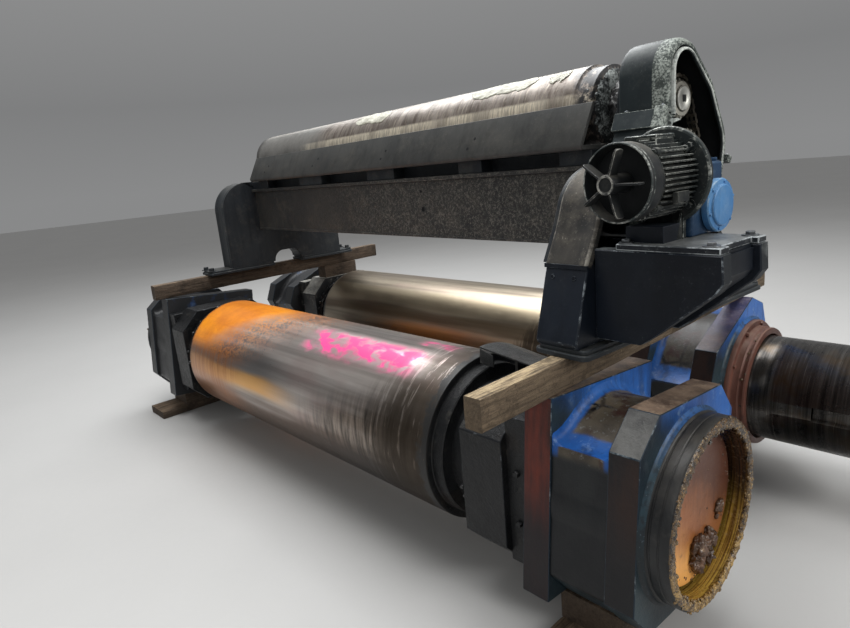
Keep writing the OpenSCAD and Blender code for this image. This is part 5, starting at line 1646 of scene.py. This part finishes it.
# ------------------------------------------------------------------ chain and wheels
def toothed(m, x0, x1, rt, n, hub, hubx, mat=0, bore=0, spokes=0):
    ring = []
    for i in range(n):
        a = 2 * pi * i / n
        s = 2 * pi / n
        for f, r in ((-0.5, rt - 9), (-0.30, rt - 8), (-0.14, rt - 0.5), (0.0, rt), (0.14, rt - 0.5), (0.30, rt - 8)):
            ring.append((r * math.sin(a + f * s), r * math.cos(a + f * s)))
    c = 3.0
    def sc(r, k):
        return [(y * k, z * k) for y, z in r]
    m.loft([[(x0, y, z) for y, z in sc(ring, 0.955)], [(x0 + c, y, z) for y, z in ring], [(x1 - c, y, z) for y, z in ring], [(x1, y, z) for y, z in sc(ring, 0.955)]], mat=mat)
    m.lathe([(0, hubx[0]), (hub - 2, hubx[0]), (hub, hubx[0] + 2), (hub, hubx[1] - 2), (hub - 2, hubx[1]), (0, hubx[1])], 48, mat=mat)


m = MB()
toothed(m, 1606, 1636, 66, 17, 55.5, (1592, 1646))
m.done("wheel_roll", BAX, "blender_roll", [SPROK], ["roll_sprocket"], sharp=30)
m = MB()
m.lathe([(0, 1646.2), (34, 1646.2), (38, 1648), (38, 1652), (36, 1654), (22, 1654), (20, 1653), (0, 1653)], 48)
m.done("shaft_disc", BAX, "blender_roll", [BARE], ["shaft_end_disc"], sharp=30)
# black square stands in for the shade inside the hole in the shaft disc
m = MB()
m.box(1652.4, -11, -11, 1653.6, 11, 11)
m.done("shaft_disc_hole", BAX, "blender_roll", [SHADE_BLACK])
m = MB()
TW = UNIT @ T(0, TP[0], TP[1])
toothed(m, 1606, 1636, 78, 20, 34, (1598, 1650))
m.lathe([(0, 1650), (15, 1650), (16, 1651), (16, 1653), (15, 1654), (0, 1654)], 6)
for i in range(5):
    a = 2 * pi * i / 5
    m.rod((1634.5, 52 * math.sin(a), 52 * math.cos(a)), (1, 0, 0), 10, 2.2, 24, 0)
m.done("wheel_tension", TW, "tension_sprocket", [SPROK], ["tension_sprocket"], sharp=30)
m = MB()
DWM = UNIT @ T(0, LP[0], LP[1])
toothed(m, 1606, 1636, 60, 15, 30, (1600, 1755))
m.done("wheel_drive", DWM, "drive_sprocket", [SPROK], ["drive_sprocket"], sharp=30)

path = hull2(circ((0, 1190), 62 + 13, 160) + circ(TP, 74 + 13, 160) + circ(LP, 56 + 13, 160))
per = sum((Vector(path[i]) - Vector(path[i - 1])).length for i in range(len(path)))
nl = int(round(per / 25.4 / 2)) * 2
pp, pn = resample(path, nl)
m = MB()
for i in range(nl):
    a, b = pp[i], pp[(i + 1) % nl]
    d = (b - a)
    L = d.length
    d.normalize()
    n = Vector((d.y, -d.x))
    mid = (a + b) / 2
    h = 6.2
    pl = []
    for t, w in ((-L / 2 - 5.4, 2.6), (-L / 2 - 2.5, 5.4), (-L / 2 + 2, 6.2), (-2, 4.4), (2, 4.4), (L / 2 - 2, 6.2), (L / 2 + 2.5, 5.4), (L / 2 + 5.4, 2.6)):
        pl.append(mid + d * t - n * w)
    for t, w in ((L / 2 + 5.4, 2.6), (L / 2 + 2.5, 5.4), (L / 2 - 2, 6.2), (2, 4.4), (-2, 4.4), (-L / 2 + 2, 6.2), (-L / 2 - 2.5, 5.4), (-L / 2 - 5.4, 2.6)):
        pl.append(mid + d * t + n * w)
    poly = [(v.x, v.y) for v in pl]
    inner = i % 2
    for x0 in ((1607.5, 1618.0, 1621.5, 1632.0) if inner else (1604.6, 1619.0, 1620.6, 1635.2)):
        m.prism(poly, x0, x0 + 2.4, "x")
    m.rod((1604, a.x, a.y), (1, 0, 0), 2.6, 34, 10, 0)
    m.rod((1610, a.x, a.y), (1, 0, 0), 5.2, 8, 12, 0)
    m.rod((1624, a.x, a.y), (1, 0, 0), 5.2, 8, 12, 0)
m.done("chain_loop", UNIT, "stand", [CHAIN], ["drive_chain"], sharp=30, merge=False)

# ------------------------------------------------------------------ bracket, base plate
BZ = 772.0


def cheek(x0):
    return [(x0, 500), (1803, 503), (1865, 550), (1949, 619), (2014, 671), (2034, 700), (2030, BZ), (x0, BZ)]


m = MB()
for x0, y0, t in ((1655, -500, 48.0), (1518, -290, 45.0)):
    o = cheek(x0)
    # thick flat cheek with worn edges and a dusty end face
    seq = [(inset(o, 3.5), 0), (o, 3.5), (o, t - 3.5), (inset(o, 3.5), t)]
    m.loft([[(x, y0 + d, z) for x, z in q] for q, d in seq], cap=True, cap_mat=0, mat=[1, 2, 1])
m.box(1701, -455, BZ - 24, 2006, -287, BZ - 0.5)
m.prism([(1790, 514), (1855, 564), (1937, 632), (2000, 684), (2014, 706), (2012, BZ - 10), (1990, BZ - 10), (1990, 704), (1978, 690), (1925, 646), (1848, 582), (1788, 536)], -455, -287, "y", 0)
m.done("motor_bracket_body", UNIT, "stand", [NAVY, NAVY_E, NAVY_D], ["motor_bracket"], sharp=28)
m = MB()
m.prism([(1727, -498), (2024, -498), (2024, -452), (2004, -452), (2004, -290), (2024, -290), (2024, -243), (1727, -243)], BZ, BZ + 18, "z")
m.done("base_plate_body", UNIT, "stand", [PLATE, PLATE_E], ["motor_base_plate"], bevel=(3, 3, 1))
m = MB()
m.box(1736, -462, BZ + 17, 1852, -378, BZ + 64)
m.done("base_plate_block", UNIT, "stand", [NAVY, NAVY_E], bevel=(2, 2, 1))
m = MB()
for x, y in ((1750, -480), (1990, -474), (1992, -267)):
    m.bolt((x, y, BZ + 18), (0, 0, 1), 22, h=10, turn=RNG.random())
m.done("base_plate_bolts", UNIT, "stand", [BOLTM], sharp=35)

# ------------------------------------------------------------------ motor (local Z runs toward the fan)
LZ = Matrix.Rotation(-pi / 2, 4, "Y")
m = MB()
m.lathe([(0, 364), (92, 364), (94, 366), (94, 370), (86, 374), (86, 522), (94, 526), (101, 528), (101, 533), (99, 535), (0, 535)], 96, M=LZ)
m.done("motor_frame", MOT, "stand", [MOTOR], ["motor_body"], sharp=35)
m = MB()
for k in range(-6, 7):
    h = k * 14.0
    if abs(h) > 80:
        continue
    half = math.sqrt(86 ** 2 - h ** 2)
    tip = min(math.sqrt(106 ** 2 - h ** 2), 104)
    for s in (-1, 1):
        m.box(s * (half - 8), h - 2.1, 366, s * tip, h + 2.1, 527)
        if abs(h) > 22 or s < 0:
            m.box(h - 2.1, s * (half - 8), 366, h + 2.1, s * tip, 527)
m.done("motor_fins", MOT, "stand", [MOTOR, MOTOR_E], bevel=(0.9, 1, 1))
m = MB()
for a in (pi / 4, 3 * pi / 4, 5 * pi / 4, 7 * pi / 4):
    c, s = math.cos(a), math.sin(a)
    # tie lugs at both ends and the long bolt between them
    for z0, z1 in ((366, 386), (510, 528)):
        m.rod((100 * c, 100 * s, z0), (0, 0, 1), 11, z1 - z0, 20, 1.5)
    m.rod((100 * c, 100 * s, 380), (0, 0, 1), 4.5, 134, 12, 0)
    m.bolt((100 * c, 100 * s, 527), (0, 0, 1), 14, h=6, washer=False)
for i in range(4):
    a = pi / 4 + i * pi / 2
    m.bolt((112 * math.cos(a) * 1.0, 112 * math.sin(a), 365), (0, 0, 1), 17, turn=a)
# clamp blocks low on the side
m.box(-112, -60, 430, -98, -34, 486)
m.box(98, -60, 430, 112, -34, 486)
m.done("motor_lugs", MOT, "stand", [MOTOR, MOTOR_E], bevel=(1.2, 1, 1))
m = MB()
m.lathe([(98, 536), (101, 536), (103, 538), (104, 542), (104, 574), (102.6, 576), (102.6, 578), (104, 580), (104, 586), (103, 589), (101, 590), (99, 588.5), (98.2, 585), (98, 545)], 160, ring=True, M=LZ, mat=[0, 0, 0, 0, 1, 0, 0, 0, 1, 1, 1, 0, 0, 0])
# dark ring behind the fan: painted shade inside the shroud
m.lathe([(24, 535.5), (98, 535.5), (98, 540), (24, 540)], 96, ring=True, M=LZ, mat=2)
m.done("motor_shroud", MOT, "stand", [RINGM, MOTOR_E, SHADE_BLACK], ["motor_end_ring"], sharp=30)
m = MB()
# hub with a raised rim on a shaft, and five flat vanes in front of it
m.lathe([(0, 634), (17, 634), (19, 637), (22, 638), (25, 637), (26, 634), (26, 552), (24, 548), (15, 548), (15, 514), (0, 514)], 72, M=LZ, mat=[0, 0, 1, 1, 0, 0, 0, 0, 0, 0])
for i in range(5):
    a = 2 * pi * i / 5
    c, s = math.cos(a), math.sin(a)
    out = [(22, 597.5), (84, 597.5), (88, 599.5), (90.5, 603), (91.5, 608), (91.5, 622), (90.5, 627), (88, 630.5), (84, 632.5), (22, 632.5)]
    rows = []
    for w, g in ((-2.9, 1.2), (-1.8, 0.0), (1.8, 0.0), (2.9, 1.2)):
        rows.append([((r - (g if r > 50 else 0)) * c - w * s, (r - (g if r > 50 else 0)) * s + w * c, z + (g if z < 615 else -g)) for r, z in out])
    m.loft(rows, mat=[1, 0, 1], cap_mat=0)
m.done("fan_wheel", MOT, "motor_fan", [FANM, FANM_E], ["motor_fan"], sharp=30)
m = MB()
m.lathe([(0, 349.5), (130, 349), (134.5, 351), (136, 354), (136, 361), (134, 364), (128, 365), (0, 365)], 128, M=LZ, mat=[0, 0, 1, 0, 1, 1, 0])
m.done("flange_disc", MOT, "stand", [MOTOR, MOTOR_E], ["motor_flange"], sharp=30)
m = MB()
m.box(MX - 61, -365, BZ + 18, MX + 61, -350, BZ + 96)
# two light webs beside the pedestal
m.prism([(-365, BZ + 18), (-366, BZ + 92), (-398, BZ + 24), (-398, BZ + 18)], MX - 58, MX - 50, "x")
m.prism([(-365, BZ + 18), (-366, BZ + 92), (-398, BZ + 24), (-398, BZ + 18)], MX + 50, MX + 58, "x")
m.done("flange_foot", UNIT, "stand", [MOTOR, MOTOR_E], bevel=(2.5, 2, 1))
m = MB()
m.box(MX - 46, -478, MZ + 78, MX + 46, -392, MZ + 106)
m.box(MX - 38, -468, MZ + 66, MX + 38, -398, MZ + 80)
m.box(MX - 48, -480, MZ + 105, MX + 48, -390, MZ + 115.5)
m.done("terminal_box_body", UNIT, "stand", [MOTOR, MOTOR_E], ["motor_terminal_box"], bevel=(3, 3, 1))
m = MB()
for dx in (-39, 39):
    for y in (-471, -399):
        m.rod((MX + dx, y, MZ + 115), (0, 0, 1), 4.5, 1.0, 16, 0.4)
m.rod((MX - 46, -435, MZ + 92), (-1, 0, 0), 11, 14, 24, 2)
m.rod((MX - 60, -435, MZ + 92), (-1, 0, 0), 7.5, 7, 20, 2)
m.done("terminal_box_screws", UNIT, "stand", [BOLTM], sharp=35)

# ------------------------------------------------------------------ reducer
m = MB()
m.box(1722, -345, BZ + 18, 1868, -175, BZ + 218)
m.box(1735, -349, MZ - 79, 1855, -320, MZ + 28)
m.done("reducer_case", UNIT, "stand", [RBLUE, CBLUE_E], ["reducer_housing"], bevel=(8, 4, None))
m = MB()
for z in (820, 900, 970):
    for y in (-330, -190):
        m.bolt((1722, y, z), (-1, 0, 0), 14, turn=RNG.random())
for x in (1740, 1850):
    for y in (-300, -192):
        m.bolt((x, y, BZ + 218), (0, 0, 1), 15, turn=RNG.random())
m.lathe([(30.3, 1713), (52, 1713), (54, 1715), (54, 1724), (30.3, 1724)], 48, ring=True, M=Matrix.Translation((0, -222, 868)))
m.done("reducer_trim", UNIT, "stand", [RBLUE], sharp=35)
m = MB()
m.lathe([(0, 1868), (73, 1868), (76, 1870), (76, 1886), (73, 1889.5), (62, 1890), (60, 1890.5), (58, 1892.5), (58, 1895.5), (55, 1897.5), (0, 1897.5)], 96, mat=[0, 0, 0, 1, 0, 0, 0, 1, 0, 0])
for i in range(6):
    a = pi / 3 * i + 0.2
    m.bolt((1889.5, 67 * math.sin(a), 67 * math.cos(a)), (1, 0, 0), 8, h=4, washer=False, turn=a)
m.done("reducer_cap_disc", DWM, "stand", [CBLUE, CBLUE_E], ["reducer_cap"], sharp=30)

# cut packers keep the part's own shape
for nm in ("packers_right", "packers_left"):
    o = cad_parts[nm]
    o.data.materials.clear()
    o.data.materials.append(WOODO)

# ------------------------------------------------------------------ floor, light, camera
fm = NM("floor_pale")
n1, n2 = fm.noise(0.8, 5, 0.6), fm.noise(30, 4, 0.6)
fm.set("Base Color", fm.mix(n1, (0.400, 0.398, 0.392), (0.455, 0.452, 0.445)))
fm.set("Roughness", fm.add(fm.mul(n2, 0.2), 0.55))
fm.normal(fm.bump(n2, 0.05, 0.001))
me = bpy.data.meshes.new("floor")
me.from_pydata([(-40, -40, -0.001), (40, -40, -0.001), (40, 40, -0.001), (-40, 40, -0.001)], [], [(0, 1, 2, 3)])
me.materials.append(fm.m)
floor = bpy.data.objects.new("floor", me)
bpy.context.scene.collection.objects.link(floor)

world = bpy.data.worlds.new("studio")
bpy.context.scene.world = world
world.use_nodes = True
wt = world.node_tree
wt.nodes.clear()
wo = wt.nodes.new("ShaderNodeOutputWorld")
bg = wt.nodes.new("ShaderNodeBackground")
tc = wt.nodes.new("ShaderNodeTexCoord")
sx = wt.nodes.new("ShaderNodeSeparateXYZ")
rp = wt.nodes.new("ShaderNodeValToRGB")
wt.links.new(tc.outputs["Generated"], sx.inputs[0])
wt.links.new(sx.outputs[2], rp.inputs["Fac"])
els = rp.color_ramp.elements
els[0].position, els[0].color = 0.0, (0.62, 0.625, 0.63, 1)
els[1].position, els[1].color = 0.65, (1.0, 1.0, 1.0, 1)
e = els.new(0.12)
e.color = (0.52, 0.525, 0.53, 1)
wt.links.new(rp.outputs["Color"], bg.inputs["Color"])
bg.inputs["Strength"].default_value = 0.40
wt.links.new(bg.outputs[0], wo.inputs[0])


def area(name, loc, target, sx_, sy_, power, col=(1, 1, 1)):
    l = bpy.data.lights.new(name, "AREA")
    l.shape, l.size, l.size_y, l.energy, l.color = "RECTANGLE", sx_, sy_, power, col
    o = bpy.data.objects.new(name, l)
    d = Vector(target) - Vector(loc)
    o.matrix_world = Matrix.Translation(loc) @ d.to_track_quat("-Z", "Y").to_matrix().to_4x4()
    bpy.context.scene.collection.objects.link(o)
    return o


area("light_key", (-2.6, 2.4, 6.4), (0.2, -0.2, 0.8), 5.0, 4.0, 470, (0.97, 0.99, 1.0))
area("light_top", (0.8, -0.8, 6.6), (0.5, -0.4, 0.8), 4.2, 3.0, 320, (1.0, 1.0, 1.0))
area("light_front", (3.4, -5.6, 3.4), (0.8, -0.6, 0.8), 3.2, 2.2, 50, (1.0, 0.985, 0.96))
area("light_right", (6.6, 1.2, 3.6), (1.6, -0.1, 0.9), 3.0, 2.4, 185, (1.0, 0.98, 0.95))

cam = bpy.data.cameras.new("camera")
cam.sensor_width, cam.lens, cam.sensor_fit = 36.0, 25.648, "HORIZONTAL"
cam.clip_start, cam.clip_end = 0.05, 200
co = bpy.data.objects.new("camera", cam)
yaw, pitch, roll = math.radians(48.318), math.radians(13.555), math.radians(-5.298)
f = Vector((-math.sin(yaw) * math.cos(pitch), math.cos(yaw) * math.cos(pitch), -math.sin(pitch)))
r = Vector((math.cos(yaw), math.sin(yaw), 0))
u = r.cross(f)
r2 = math.cos(roll) * r + math.sin(roll) * u
u2 = -math.sin(roll) * r + math.cos(roll) * u
M = Matrix((r2, u2, -f)).transposed().to_4x4()
M.translation = Vector(((2585.08 - OX) / 1000, (-2165.46 - OY) / 1000, 1.51154))
co.matrix_world = M
bpy.context.scene.collection.objects.link(co)
bpy.context.scene.camera = co
bpy.context.scene.view_settings.view_transform = "Standard"
bpy.context.scene.view_settings.look = "None"
bpy.context.scene.view_settings.exposure = 0.0
